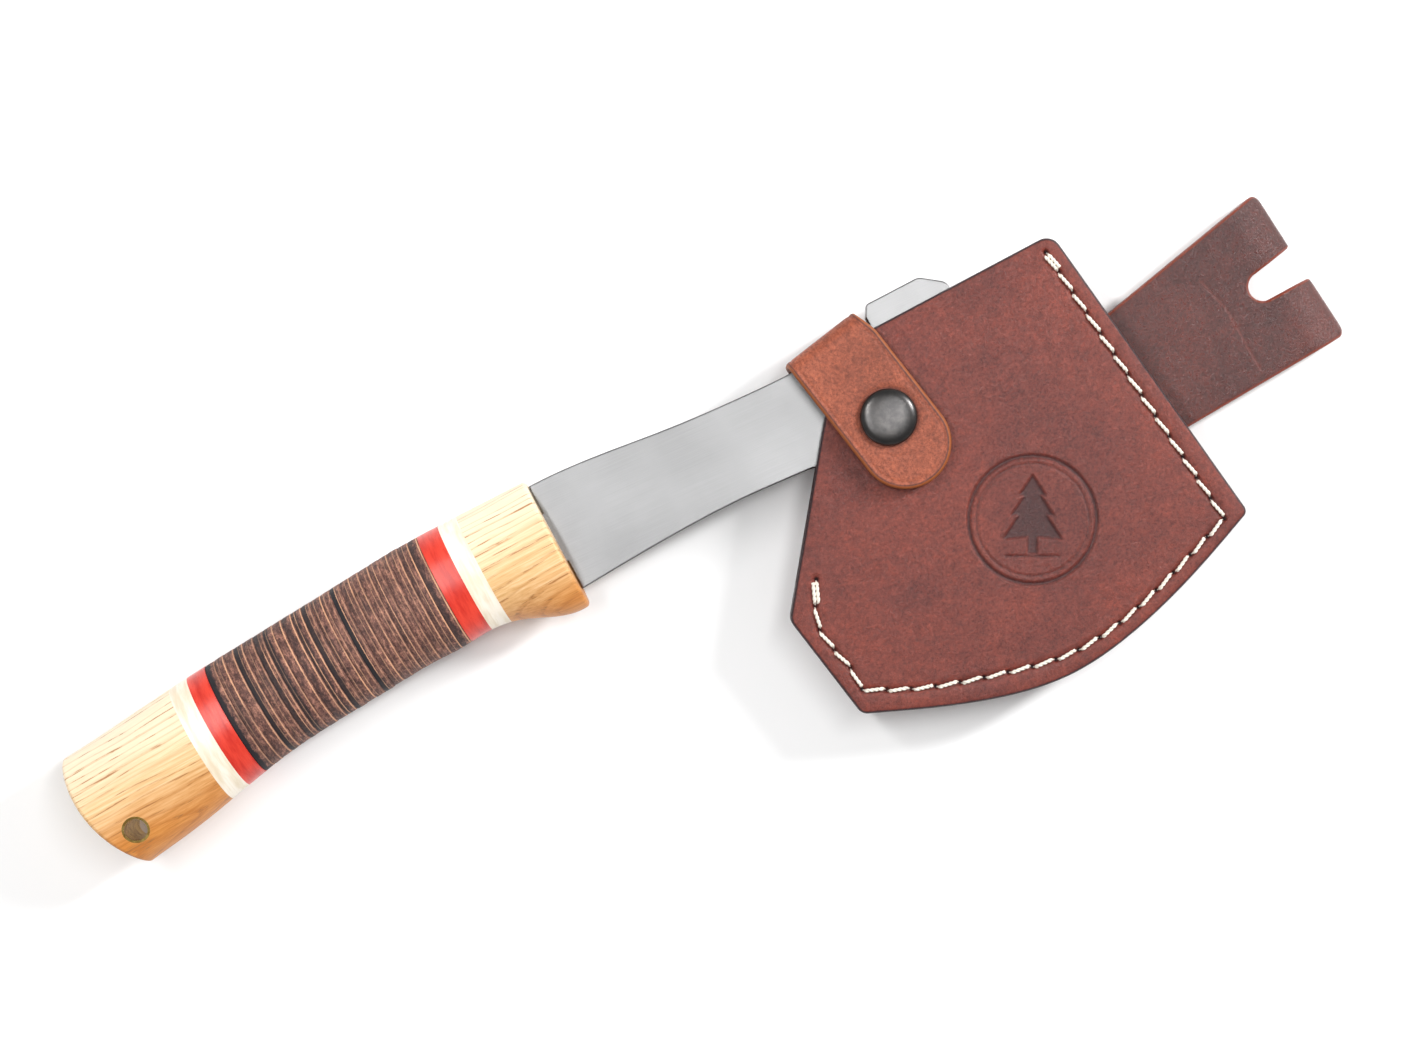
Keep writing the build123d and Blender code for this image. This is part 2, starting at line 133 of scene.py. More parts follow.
def resample(loop, step):
    """The same closed line with points about a step apart, with its real corners kept."""
    kept = [loop[0]]
    for n in range(1, len(loop)):
        before, after = loop[n] - kept[-1], loop[(n + 1) % len(loop)] - loop[n]
        cross = abs(before[0] * after[1] - before[1] * after[0])
        sharp = cross > SHARP * norm(before) * norm(after)
        if norm(before) > CROWDED * step or sharp:
            kept.append(loop[n])
    made = []
    for a, b in zip(kept, kept[1:] + kept[:1]):
        parts = max(1, round(float(norm(b - a)) / step))
        made += [a + (b - a) * k / parts for k in range(parts)]
    return np.array(made)


# ---- flat geometry
def unit(way):
    return way / norm(way)


def left_of(way):
    """A flat direction, turned a quarter turn to the left."""
    return np.array([-way[1], way[0]])


def circle(radius, angles):
    return radius * np.stack([np.cos(angles), np.sin(angles)], 1)


def inside(points, loops):
    """Even-odd test of points against closed loops."""
    hit = np.zeros(len(points), bool)
    x, y = points[:, 0], points[:, 1]
    for loop in loops:
        for (x1, y1), (x2, y2) in zip(loop, np.roll(loop, -1, 0)):
            if y1 != y2:
                over = (y1 > y) != (y2 > y)
                hit ^= over & (x < (x2 - x1) * (y - y1) / (y2 - y1) + x1)
    return hit


def distance(points, loops):
    """Distance from each point to the nearest of the closed loops' sides."""
    best = np.full(len(points), 1e9)
    for loop in loops:
        for a, b in zip(loop, np.roll(loop, -1, 0)):
            best = np.minimum(best, to_segment(points, a, b))
    return best


def to_segment(points, a, b):
    """Distance from each point to one straight line between two ends."""
    side = b - a
    along = np.clip(((points - a) @ side) / max(float(side @ side), 1e-9), 0, 1)
    return norm(points - a - along[:, None] * side, axis=1)


LEAST_MITRE = 0.7  # keeps the inset of a sharp corner from running away
ROW_STEP = 0.866  # between the rows of a hexagonal grid, over its step
BATCH = 2000  # points compared at a time, to spare memory
MERGE = 1e-4  # points closer than this become one


def inset(loop, depth):
    """The loop moved to its left, into the leather, by a depth."""
    ahead = np.roll(loop, -1, 0) - loop
    ahead /= norm(ahead, axis=1)[:, None]
    left = np.stack([-ahead[:, 1], ahead[:, 0]], 1)
    before = np.roll(left, 1, 0)
    share = 1 + np.sum(left * before, 1)
    return loop + (left + before) / np.maximum(share, LEAST_MITRE)[:, None] * depth


def hexagonal(loops, step, margin):
    """Points of a hexagonal grid inside the loops, clear of their lines."""
    every = np.concatenate(loops)
    low, high = every.min(0), every.max(0)
    rows = []
    for n, y in enumerate(np.arange(low[1], high[1], step * ROW_STEP)):
        x = np.arange(low[0] + (n % 2) * step / 2, high[0], step)
        rows.append(np.stack([x, np.full(len(x), y)], 1))
    grid = np.concatenate(rows)
    grid = grid[inside(grid, loops)]
    return grid[distance(grid, loops) > margin]


def thin_out(points, against, gap):
    """The points that are at least a gap away from every one of the others."""
    keep = np.ones(len(points), bool)
    for start in range(0, len(points), BATCH):
        part = points[start:start + BATCH]
        near = ((part[:, None] - against[None]) ** 2).sum(2).min(1)
        keep[start:start + BATCH] = near > gap * gap
    return points[keep]


def triangulate(rings, grid, cuts):
    """Triangles between the rings: (points, triangles, the ids of each ring's points)."""
    points, sides, spans = [], [], []
    for ring in rings:
        first = len(points)
        points += [Vector(p) for p in ring]
        spans.append((first, len(ring)))
        sides += [(first + k, first + (k + 1) % len(ring)) for k in range(len(ring))]
    for cut in cuts:
        first = len(points)
        points += [Vector(p) for p in cut]
        sides += [(first + k, first + k + 1) for k in range(len(cut) - 1)]
    points += [Vector(p) for p in grid]
    made, _, faces, sources, _, _ = delaunay_2d_cdt(points, sides, [], 1, MERGE)
    where = {source: n for n, found in enumerate(sources) for source in found}
    flat = np.array([tuple(p) for p in made])
    faces = np.array([f for f in faces if len(f) == 3])
    faces = faces[inside(flat[faces].mean(1), rings)]
    return flat, faces, [[where[first + k] for k in range(count)] for first, count in spans]


# ---- cut leather
EDGE_ROLL = [(0.55, 0.1), (0.2, 0.42), (0, 1)]  # a cut edge's rounding: inwards and down, over its size
FREE_EDGE, FREE_CUT, FREE_FINE = 0.55, 0.5, 0.6  # of a step, the grid's distance from other points
FINE_MARGIN = 0.2  # between a cut's extra points and its outline
ARC_PARTS = 16  # in each bend of a line
LINE_POINTS = 1200  # along a bent line


def cut_leather(loops, thick, bevel, step, place, relief=None, fine=None, cuts=(), plain_back=False):
    """A cut of leather with both faces and a rounded edge all round, laid in space by place.

    relief gives the outer face its height, fine adds points to it, and cuts are lines that the
    triangles follow, where a piece is parted later.
    """
    half = thick / 2
    rings = [inset(loop, bevel) for loop in loops]
    grid = hexagonal(rings, step, FREE_EDGE * step)
    for cut in cuts:
        grid = thin_out(grid, cut, FREE_CUT * step)
    if fine is not None:
        fine = fine[inside(fine, rings)]
        fine = fine[distance(fine, rings) > FINE_MARGIN]
        grid = np.concatenate([thin_out(grid, fine, FREE_FINE * step), fine])
    flat, faces, ids = triangulate(rings, grid, cuts)
    rise = relief(flat) if relief else np.zeros(len(flat))
    spots = [np.column_stack([flat, half + rise])]
    edges = [distance(flat, loops)]
    tris = [faces]
    count = len(flat)
    if plain_back:
        flat, faces, low_ids = triangulate(rings, np.zeros((0, 2)), cuts)
    else:
        low_ids = ids
    spots.append(np.column_stack([flat, np.full(len(flat), -half)]))
    edges.append(distance(flat, loops))
    tris.append(faces[:, ::-1] + count)
    low_ids = [[n + count for n in ring] for ring in low_ids]
    count += len(flat)
    quads = []
    steps = [(bevel * a, half - bevel * b) for a, b in EDGE_ROLL]
    steps += [(bevel * a, bevel * b - half) for a, b in reversed(EDGE_ROLL)]
    for loop, top, bottom in zip(loops, ids, low_ids):
        above = top
        for depth, height in steps:
            ring = inset(loop, depth) if depth else loop
            lifted = relief and height > half - 0.6 * bevel
            lift = relief(ring) if lifted else np.zeros(len(ring))
            spots.append(np.column_stack([ring, height + lift]))
            edges.append(np.full(len(ring), depth if height > 0 else 0.0))
            below = list(range(count, count + len(ring)))
            count += len(ring)
            quads += band(above, below)
            above = below
        quads += band(above, bottom)
    spots, edges = np.concatenate(spots), np.concatenate(edges)
    every = [tuple(int(i) for i in face) for part in tris for face in part] + quads
    return {"verts": place(spots), "faces": every, "flat": spots, "edge": edges}


def band(above, below):
    """Quads between two closed rings of the same size."""
    size = len(above)
    return [(above[k], below[k], below[(k + 1) % size], above[(k + 1) % size]) for k in range(size)]


def closed_rings(rows, count, start=0):
    """Faces of a closed shape made of rings, one after another, numbered from start."""
    rings = [range(start + row * count, start + (row + 1) * count) for row in range(rows)]
    faces = [face for above, below in zip(rings, rings[1:]) for face in band(above, below)]
    return faces + [tuple(rings[0]), tuple(rings[-1])]


def bent_line(corners, radii):
    """A line with rounded corners: its length so far, its points and its left-hand normals."""
    points = [np.array(corners[0], float)]
    for before, corner, after, radius in zip(corners, corners[1:], corners[2:], radii):
        before, corner, after = (np.array(p, float) for p in (before, corner, after))
        into, out = unit(corner - before), unit(after - corner)
        turn = atan2(into[0] * out[1] - into[1] * out[0], float(into @ out))
        reach = radius * tan(abs(turn) / 2)
        side = left_of(into) * copysign(1, turn)
        centre = corner - into * reach + side * radius
        for n in range(ARC_PARTS + 1):
            angle = turn * n / ARC_PARTS
            c, s = cos(angle), sin(angle)
            arm = -side * radius
            points.append(centre + np.array([arm[0] * c - arm[1] * s, arm[0] * s + arm[1] * c]))
    points.append(np.array(corners[-1], float))
    points = np.array(points)
    length = np.concatenate([[0], np.cumsum(norm(np.diff(points, axis=0), axis=1))])
    fine = np.linspace(0, length[-1], LINE_POINTS)
    points = np.column_stack([np.interp(fine, length, points[:, k]) for k in (0, 1)])
    tangent = np.gradient(points, fine, axis=0)
    tangent /= norm(tangent, axis=1)[:, None]
    return fine, points, np.column_stack([-tangent[:, 1], tangent[:, 0]])


def along_line(line, origin, degrees, shift):
    """A place function: flat x runs along the bent line, flat y across it, and height off it."""
    length, points, normals = line
    c, s = cos(radians(degrees)), sin(radians(degrees))

    def place(spots):
        at, v, off = spots[:, 0] + shift, spots[:, 1], spots[:, 2]
        u, z = (np.interp(at, length, points[:, k]) + off * np.interp(at, length, normals[:, k])
                for k in (0, 1))
        return np.column_stack([origin[0] + u * c - v * s, origin[1] + u * s + v * c, z])
    return place


def level(height, side=1):
    """A place function for a flat cut of leather whose outer face looks up, or down."""
    return lambda spots: np.column_stack([spots[:, 0], spots[:, 1], height + side * spots[:, 2]])


# ---- shader helpers
def rgb(r, g, b):
    """An sRGB colour of 0 to 255 as the linear colour a shader takes."""
    def one(v):
        v /= 255
        return v / 12.92 if v <= 0.04045 else ((v + 0.055) / 1.055) ** 2.4
    return (one(r), one(g), one(b), 1)


class Finish:
    """A Principled material, and short calls for the nodes in front of it."""

    def __init__(self, name, **values):
        self.material = bpy.data.materials.new(name)
        self.material.use_nodes = True
        self.tree = self.material.node_tree
        self.surface = self.tree.nodes["Principled BSDF"]
        for key, value in values.items():
            self.surface.inputs[key.replace("_", " ")].default_value = value

    def node(self, kind, inputs=None, **settings):
        """A new node, with its settings, and numbers or links for its inputs."""
        made = self.tree.nodes.new("ShaderNode" + kind)
        for key, value in settings.items():
            setattr(made, key, value)
        for key, value in (inputs or {}).items():
            if isinstance(value, bpy.types.NodeSocket):
                self.tree.links.new(value, made.inputs[key])
            else:
                made.inputs[key].default_value = value
        return made

    def place(self, scale=(1, 1, 1), turn=0.0, attribute=None):
        """Millimetres on the piece, or on the flat cut, turned about Z and then stretched."""
        if attribute:
            source = self.node("Attribute", attribute_name=attribute).outputs["Vector"]
            per_unit = 1
        else:
            source = self.node("TexCoord").outputs["Object"]
            per_unit = 1 / MM
        turned = self.node("Mapping", {"Vector": source, "Rotation": (0, 0, radians(turn))})
        stretch = tuple(per_unit * k for k in scale)
        return self.node("Mapping", {"Vector": turned.outputs[0], "Scale": stretch}).outputs[0]

    def value(self, attribute):
        return self.node("Attribute", attribute_name=attribute).outputs["Fac"]

    def noise(self, where, scale, detail=3.0, roughness=0.55, distortion=0.0):
        return self.node("TexNoise", {"Vector": where, "Scale": scale, "Detail": detail,
                                      "Roughness": roughness, "Distortion": distortion}).outputs["Fac"]

    def cells(self, where, scale):
        return self.node("TexVoronoi", {"Vector": where, "Scale": scale}).outputs["Distance"]

    def sums(self, operation, a, b=0.0):
        return self.node("Math", {0: a, 1: b}, operation=operation).outputs[0]

    def plus(self, a, b):
        return self.sums("ADD", a, b)

    def times(self, a, b):
        return self.sums("MULTIPLY", a, b)

    def span(self, value, low, high, to_low=0.0, to_high=1.0, smooth=True):
        """The value between low and high, spread from one number to another."""
        return self.node("MapRange", {"Value": value, "From Min": low, "From Max": high,
                                      "To Min": to_low, "To Max": to_high},
                         interpolation_type="SMOOTHSTEP" if smooth else "LINEAR").outputs[0]

    def even(self, noise, to_low, to_high):
        """A noise, about 0.2 to 0.8, spread from one number to another."""
        return self.span(noise, 0.2, 0.8, to_low, to_high, False)

    def ramp(self, value, *stops):
        """Colours at places from 0 to 1, blended between them."""
        made = self.node("ValToRGB", {"Fac": value})
        elements = made.color_ramp.elements
        while len(elements) < len(stops):
            elements.new(0.5)
        for element, (at, colour) in zip(elements, stops):
            element.position = at
            element.color = colour
        return made.outputs["Color"]

    def mix(self, a, b, share, blend="MIX"):
        inputs = {0: share, 6: a, 7: b}
        return self.node("Mix", inputs, data_type="RGBA", blend_type=blend).outputs[2]

    def tint(self, colour, value, low, high, share):
        """The colour multiplied by a ramp of two stops, by a share."""
        return self.mix(colour, self.ramp(value, low, high), share, "MULTIPLY")

    def line(self, value, at, half, strength):
        """The strength where the value is within a half width of a place, and 0 elsewhere."""
        away = self.sums("ABSOLUTE", self.sums("SUBTRACT", value, at))
        return self.times(self.span(away, half, half * 0.5), strength)

    def bump(self, height, distance_mm, strength=1.0, after=None):
        inputs = {"Height": height, "Distance": distance_mm * MM, "Strength": strength}
        if after is not None:
            inputs["Normal"] = after
        return self.node("Bump", inputs).outputs[0]

    def wear(self, colour, rough, normal=None):
        """Link the shader's own inputs, and give the material."""
        for key, socket in (("Base Color", colour), ("Roughness", rough), ("Normal", normal)):
            if socket:
                self.tree.links.new(socket, self.surface.inputs[key])
        return self.material


# ---- materials
def leather(name, light, dark, rim, rim_width, grain=1.0, sheen_rough=(0.42, 0.6)):
    """Smooth vegetable-tanned leather: cloudy colour, fine pores and creases, and a dyed edge."""
    f = Finish(name, Specular_IOR_Level=0.45)
    spot = f.place(attribute="flat")
    cloud = f.noise(spot, 0.03, 3, 0.6, 0.4)
    colour = f.mix(dark, light, f.span(cloud, 0.3, 0.7))
    mottle = f.noise(spot, 0.42, 6, 0.72)
    colour = f.tint(colour, mottle, (0.3, (0.7, 0.64, 0.64, 1)), (0.7, (1.28, 1.24, 1.2, 1)), 0.9)
    speck = f.noise(spot, 1.2, 5, 0.82)
    colour = f.tint(colour, speck, (0.36, (0.56, 0.5, 0.5, 1)), (0.64, (1.46, 1.44, 1.42, 1)), 0.85)
    pit = f.span(f.cells(spot, 1.25), 0.02, 0.3)
    colour = f.mix(f.mix(dark, (0.45, 0.4, 0.4, 1), 1.0, "MULTIPLY"), colour,
                   f.span(pit, 0, 1, 0.45, 1.0, False))
    scuff_at = f.place((0.05, 1.3, 1), 24, attribute="flat")
    scuff = f.span(f.noise(scuff_at, 1.0, 4, 0.6), 0.64, 0.74)
    pale = f.mix(light, (1.5, 1.5, 1.5, 1), 1.0, "MULTIPLY")
    colour = f.mix(colour, pale, f.times(scuff, 0.3))
    scratch = f.times(f.value("scuff"), f.span(speck, 0.3, 0.6, 0.3, 0.9))
    colour = f.mix(colour, pale, scratch)
    edge = f.plus(f.value("edge"), f.even(mottle, -0.14, 0.14))
    colour = f.mix(rim, colour, f.span(edge, rim_width * 0.45, rim_width))
    # Towards near-black by the point's dye and painted-shade share: painted shade in holes, grooves and
    # pressed dents, and dye elsewhere.
    colour = f.mix(colour, rgb(38, 20, 24), f.value("dye_and_shade"))
    crease = f.sums("ABSOLUTE", f.sums("SUBTRACT", f.noise(spot, 0.9, 5, 0.7, 0.5), 0.5))
    normal = f.bump(f.span(crease, 0.0, 0.03), 0.02 * grain, 0.8)
    normal = f.bump(pit, 0.05 * grain, 0.8, normal)
    normal = f.bump(speck, 0.2 * grain, 0.9, normal)
    low, high = sheen_rough
    rough = f.span(speck, 0.35, 0.65, high, low, False)
    return f.wear(colour, rough, normal)


def washer_leather():
    """Edges of stacked leather discs: fibrous, stained, with a paler skin at one face."""
    f = Finish("stacked_leather", Specular_IOR_Level=0.3)
    round_at = f.place((0.55, 0.16, 1), attribute="flat")
    across = f.value("across")
    tone = f.value("tone")
    fibre = f.noise(round_at, 2.2, 6, 0.72, 0.3)
    fine = f.noise(f.place(attribute="flat"), 1.7, 5, 0.8)
    colour = f.ramp(fibre, (0.3, rgb(52, 36, 35)), (0.5, rgb(102, 72, 65)),
                    (0.7, rgb(172, 126, 108)))
    colour = f.tint(colour, fine, (0.33, (0.34, 0.31, 0.32, 1)), (0.66, (1.75, 1.6, 1.52, 1)), 0.9)
    stain = f.span(f.noise(f.place((0.25, 0.09, 1), attribute="flat"), 1.0, 4, 0.6), 0.5, 0.72)
    colour = f.mix(colour, rgb(52, 42, 42), f.times(stain, 0.6))
    band_at = f.plus(across, f.even(fibre, -0.18, 0.18))
    dark = f.times(f.span(band_at, 0.66, 0.4), tone)
    colour = f.mix(colour, rgb(34, 30, 34), dark)
    line_at = f.plus(across, f.even(fine, -0.05, 0.05))
    skin = f.line(line_at, f.value("skin_at"), 0.075, f.value("skin"))
    skin = f.sums("MAXIMUM", skin, f.line(line_at, f.value("split_at"), 0.05, f.value("split")))
    skin = f.times(skin, f.span(f.noise(round_at, 0.35, 2), 0.3, 0.55, 0.25, 1.0))
    colour = f.mix(colour, f.mix(rgb(196, 140, 108), rgb(226, 176, 138), fibre), skin)
    normal = f.bump(fibre, 0.22, 0.8)
    normal = f.bump(fine, 0.12, 0.7, normal)
    return f.wear(colour, f.even(fine, 0.72, 0.5), normal)


def wood():
    """Straight-grained pale ash: rings with rows of short open pores, with painted light: paler on the spine
    side, where the light falls, and a painted shade of deeper gold towards the belly.

    The rings lie round a line along X, at Y -60 and Z 50.
    """
    f = Finish("pale_ash", Specular_IOR_Level=0.4, Coat_Weight=0.12, Coat_Roughness=0.25)
    wander = f.noise(f.place((0.018, 0.06, 0.06)), 1.0, 2, 0.45)
    parts = f.node("SeparateXYZ", {"Vector": f.place((1, 1, 1), -2)})
    y, z = parts.outputs[1], parts.outputs[2]
    side = f.sums("POWER", f.plus(y, 60.0), 2.0)
    rise = f.sums("POWER", f.sums("SUBTRACT", z, 50.0), 2.0)
    depth = f.sums("POWER", f.plus(side, rise), 0.5)
    rings = f.plus(depth, f.even(wander, -2.2, 2.2))
    uneven = f.noise(f.node("CombineXYZ", {"X": f.times(rings, 0.28)}).outputs[0], 1.0, 2)
    rings = f.plus(rings, f.even(uneven, -1.2, 1.2))
    phase = f.sums("FRACT", f.sums("DIVIDE", rings, 1.9))
    early = f.times(f.span(phase, 0.0, 0.4, 1, 0), f.span(phase, 0.0, 0.08))
    streak = f.noise(f.place((0.05, 1.3, 1.3)), 1.0, 5, 0.7)
    base = f.ramp(streak, (0.28, rgb(206, 160, 98)), (0.5, rgb(231, 191, 137)),
                  (0.72, rgb(246, 219, 176)))
    # Painted highlight: paler towards the spine side, where the light falls.
    high = f.span(f.plus(y, f.even(wander, -3, 3)), 9, 25)
    base = f.mix(base, rgb(250, 236, 212), f.times(high, 0.7))
    base = f.mix(base, rgb(196, 143, 82), f.times(early, 0.5))
    # Painted shade: a deeper gold towards the belly side, away from the light.
    low = f.span(f.plus(y, f.even(wander, -5, 5)), 13, -5)
    base = f.mix(base, f.mix(base, rgb(226, 172, 98), 1.0, "MULTIPLY"), f.times(low, 0.95))
    pore = f.noise(f.place((0.1, 1.9, 1.9)), 1.0, 3, 0.65)
    dash = f.times(f.span(pore, 0.52, 0.62), f.span(early, 0.1, 0.6, 0.06, 1.0))
    base = f.mix(base, rgb(158, 104, 54), f.times(dash, 0.85))
    normal = f.bump(dash, 0.12, -0.8)
    normal = f.bump(streak, 0.06, 0.7, normal)
    return f.wear(base, f.even(streak, 0.4, 0.56), normal)


def spacer(name, light, dark, streaks):
    """Fibre or plastic spacer, polished with the grip: faint streaks round it and tiny scuffs."""
    f = Finish(name, Specular_IOR_Level=0.4, Coat_Weight=0.2, Coat_Roughness=0.3)
    cloud = f.noise(f.place((0.5, 0.09, 0.09)), 1.0, 4, 0.6)
    line = f.noise(f.place((2.4, 0.07, 0.07)), 1.0, 3, 0.6)
    colour = f.mix(dark, light, f.span(cloud, 0.28, 0.66))
    colour = f.mix(colour, dark, f.times(f.span(line, 0.56, 0.68), streaks))
    scuff = f.noise(f.place(), 1.8, 5, 0.7)
    normal = f.bump(line, 0.035, 0.7)
    normal = f.bump(scuff, 0.03, 0.6, normal)
    return f.wear(colour, f.span(scuff, 0.25, 0.75, 0.24, 0.4, False), normal)


def steel():
    """Satin ground steel: fine marks along the blade, a few deeper scratches, faint cloudiness."""
    f = Finish("satin_steel", Metallic=1.0)
    brushed = f.noise(f.place((0.05, 6, 6), 4), 1.0, 4, 0.7)
    cloud = f.noise(f.place(), 0.045, 3, 0.5)
    colour = f.ramp(cloud, (0.3, (0.2, 0.2, 0.201, 1)), (0.7, (0.24, 0.24, 0.241, 1)))
    colour = f.tint(colour, brushed, (0.3, (0.88, 0.88, 0.88, 1)), (0.7, (1.06, 1.06, 1.06, 1)), 0.8)
    scratch = f.span(f.noise(f.place((0.03, 2.4, 2.4), -21), 1.0, 2, 0.5), 0.72, 0.76)
    normal = f.bump(brushed, 0.02, 0.5)
    normal = f.bump(scratch, 0.02, -0.6, normal)
    rough = f.plus(f.even(brushed, 0.3, 0.44), f.times(scratch, 0.12))
    return f.wear(colour, rough, normal)


def metal(name, bright, dull, roughness, scale=0.5):
    """Small fittings: handled metal with a patina in patches and fine scratches."""
    f = Finish(name, Metallic=1.0)
    patch = f.noise(f.place(), scale, 5, 0.65, 0.3)
    brushed = f.noise(f.place((0.4, 5, 5), 31), 1.0, 4, 0.7)
    colour = f.mix(dull, bright, f.span(patch, 0.35, 0.65))
    normal = f.bump(brushed, 0.02, 0.6)
    low, high = roughness
    return f.wear(colour, f.span(patch, 0.3, 0.7, high, low, False), normal)


def thread_finish():
    """Waxed linen thread: pale and fibrous, with a painted shade that greys it where its fuzz dips."""
    f = Finish("waxed_thread", Specular_IOR_Level=0.35)
    fuzz = f.noise(f.place(), 3.5, 4, 0.7)
    # Painted shade: greyer where the fuzz is low, which the bump makes the hollows.
    colour = f.ramp(fuzz, (0.25, rgb(206, 194, 176)), (0.6, rgb(246, 240, 228)))
    return f.wear(colour, f.even(fuzz, 0.75, 0.6), f.bump(fuzz, 0.06, 0.7))


SHEATH = leather("sheath_leather", rgb(115, 48, 35), rgb(95, 38, 30), rgb(46, 22, 26),
                 0.75, 1.0, (0.3, 0.5))
STRAP = leather("strap_leather", rgb(153, 81, 54), rgb(133, 67, 44), rgb(150, 80, 34),
                0.85, 0.8)
LOOP = leather("loop_leather", rgb(85, 39, 33), rgb(67, 31, 28), rgb(122, 48, 28),
               0.8, 1.1, (0.24, 0.42))
WASHER = washer_leather()
WOOD = wood()
WHITE = spacer("white_spacer", rgb(246, 237, 222), rgb(224, 208, 180), 0.5)
RED = spacer("red_spacer", rgb(222, 64, 46), rgb(188, 34, 22), 0.35)
STEEL = steel()
BRASS = metal("brass", rgb(244, 214, 130), rgb(190, 152, 78), (0.14, 0.26))
GUNMETAL = metal("gunmetal", rgb(80, 78, 77), rgb(70, 69, 69), (0.27, 0.36), 0.3)
THREAD = thread_finish()


# ---- pieces
def add_object(name, data):
    made = bpy.data.objects.new(name, data)
    bpy.context.scene.collection.objects.link(made)
    return made


def make_piece(name, data, body, material, replaces, keep=None):
    """A mesh object from verts, faces and point attributes, riding on a body if one is given.

    keep says which faces stay, by their place along the flat cut.
    """
    shape = bmesh.new()
    kinds = {1: shape.verts.layers.float, 2: shape.verts.layers.float_vector}
    extras = {k: np.asarray(v) for k, v in data.items() if k not in ("verts", "faces")}
    for key, values in extras.items():
        kinds[values.ndim].new(key)
    verts = [shape.verts.new(Vector(v) * MM) for v in data["verts"]]
    for key, values in extras.items():
        layer = kinds[values.ndim][key]
        for vert, value in zip(verts, values):
            vert[layer] = Vector(value) if values.ndim == 2 else float(value)
    for face in data["faces"]:
        shape.faces.new([verts[i] for i in face])
    shape.verts.index_update()
    bmesh.ops.recalc_face_normals(shape, faces=shape.faces[:])
    if keep is not None:
        along = data["flat"][:, 0]
        gone = [f for f in shape.faces if not keep(np.mean([along[v.index] for v in f.verts]))]
        bmesh.ops.delete(shape, geom=gone, context="FACES")
    mesh = bpy.data.meshes.new(name)
    shape.to_mesh(mesh)
    shape.free()
    mesh.materials.append(material)
    mesh.shade_smooth()
    made = add_object(name, mesh)
    if body:
        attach(made, body)
    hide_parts(*replaces)
    return made


# ---- handle
STACK_START, STACK_END, WASHERS = 34.5, 98.2, 22
RING_TILT = 2.4  # degrees, of the rearmost joint
AXIS_Y = 13.0  # height of a line that stays inside the grip
GRIP_REACH = 40  # from that line to well outside the grip
ROUND_R = 17  # turns an angle into a length round the grip
RING_POINTS = 120
DISC_INSIDE = 2.5  # depth of its hidden inner rim
DISC_SUNK = 0.05  # mean depth of the crown under the CAD's surface
DISC_PROFILE = [(0.0, 0.16), (0.04, 0.06), (0.12, 0.01), (0.38, 0.0), (0.62, 0.0), (0.88, 0.01),
                (0.96, 0.06), (1.0, 0.16)]  # along the disc's thickness, and down from its crown
DARK_BANDS = {1: 1.0, 2: 0.3, 4: 0.95, 5: 0.2, 6: 0.8, 7: 0.9, 9: 0.5, 10: 0.75, 11: 0.9,
              12: 0.3, 14: 1.0, 15: 0.25, 18: 0.2, 21: 0.35, 22: 0.7}  # how stained, by disc


def handle_surface():
    """A search tree over the washers' CAD, to find where the grip's outside is."""
    verts, faces = [], []
    for name, node in NODES.items():
        if name.startswith("leather_washer") or name in ("rear_red_spacer", "front_red_spacer"):
            base = len(verts)
            verts += [v.co / MM for v in node.data.vertices]
            faces += [[base + i for i in f.vertices] for f in node.data.polygons]
    return BVHTree.FromPolygons(verts, faces)


def grip_ring(tree, x, count):
    """Points round the outside of the grip in the joint plane that crosses its middle at x."""
    share = min(max((STACK_END - x) / (STACK_END - STACK_START), 0), 1)
    tilt = radians(RING_TILT * share)
    centre = Vector((x, AXIS_Y, 0))
    ring = []
    for n in range(count):
        angle = tau * n / count
        up = cos(angle)
        way = Vector((-sin(tilt) * up, cos(tilt) * up, sin(angle)))
        hit = tree.ray_cast(centre + way * GRIP_REACH, -way)[0]
        ring.append((hit - centre, way))
    return centre, ring


def make_washers():
    """Each disc of the grip, crowned between its neighbours, uneven and rough on its edge."""
    tree = handle_surface()
    width = (STACK_END - STACK_START) / WASHERS
    count = RING_POINTS
    shares = [(0.0, DISC_INSIDE)] + DISC_PROFILE + [(1.0, DISC_INSIDE)]
    for n in range(1, WASHERS + 1):
        start = STACK_START + (n - 1) * width
        sunk = random.uniform(0.0, 0.1)
        skew = random.uniform(0, 6.28)
        verts, flat, across = [], [], []
        for share, depth in shares:
            centre, ring = grip_ring(tree, start + share * width, count)
            for k, (arm, way) in enumerate(ring):
                angle = tau * k / count
                slow = 0.035 * sin(5 * angle + skew)
                quick = 0.02 * sin(17 * angle + 2.3 * skew + 4 * share)
                verts.append(centre + arm - way * (depth + sunk + DISC_SUNK + slow + quick))
                flat.append((start + share * width, angle * ROUND_R, 3.1 * n))
                across.append(share)
        size = len(verts)
        data = {"verts": verts, "faces": closed_rings(len(shares), count), "flat": flat, "across": across,
                "tone": np.full(size, DARK_BANDS.get(n, random.uniform(0, 0.12))),
                "skin": np.full(size, random.choice((0.4, 0.7, 0.9, 1.0))),
                "skin_at": np.full(size, random.uniform(0.78, 0.95)),
                "split": np.full(size, random.choice((0.0, 0.3, 0.5, 0.8))),
                "split_at": np.full(size, random.uniform(0.25, 0.6))}
        node = f"leather_washer_{n:02}"
        make_piece(f"grip_disc_{n:02}", data, "hatchet", WASHER, [node])


# ---- sheath
LEG_LENGTH = 8  # a thread's leg is longer than this along Z, and a stitch isn't


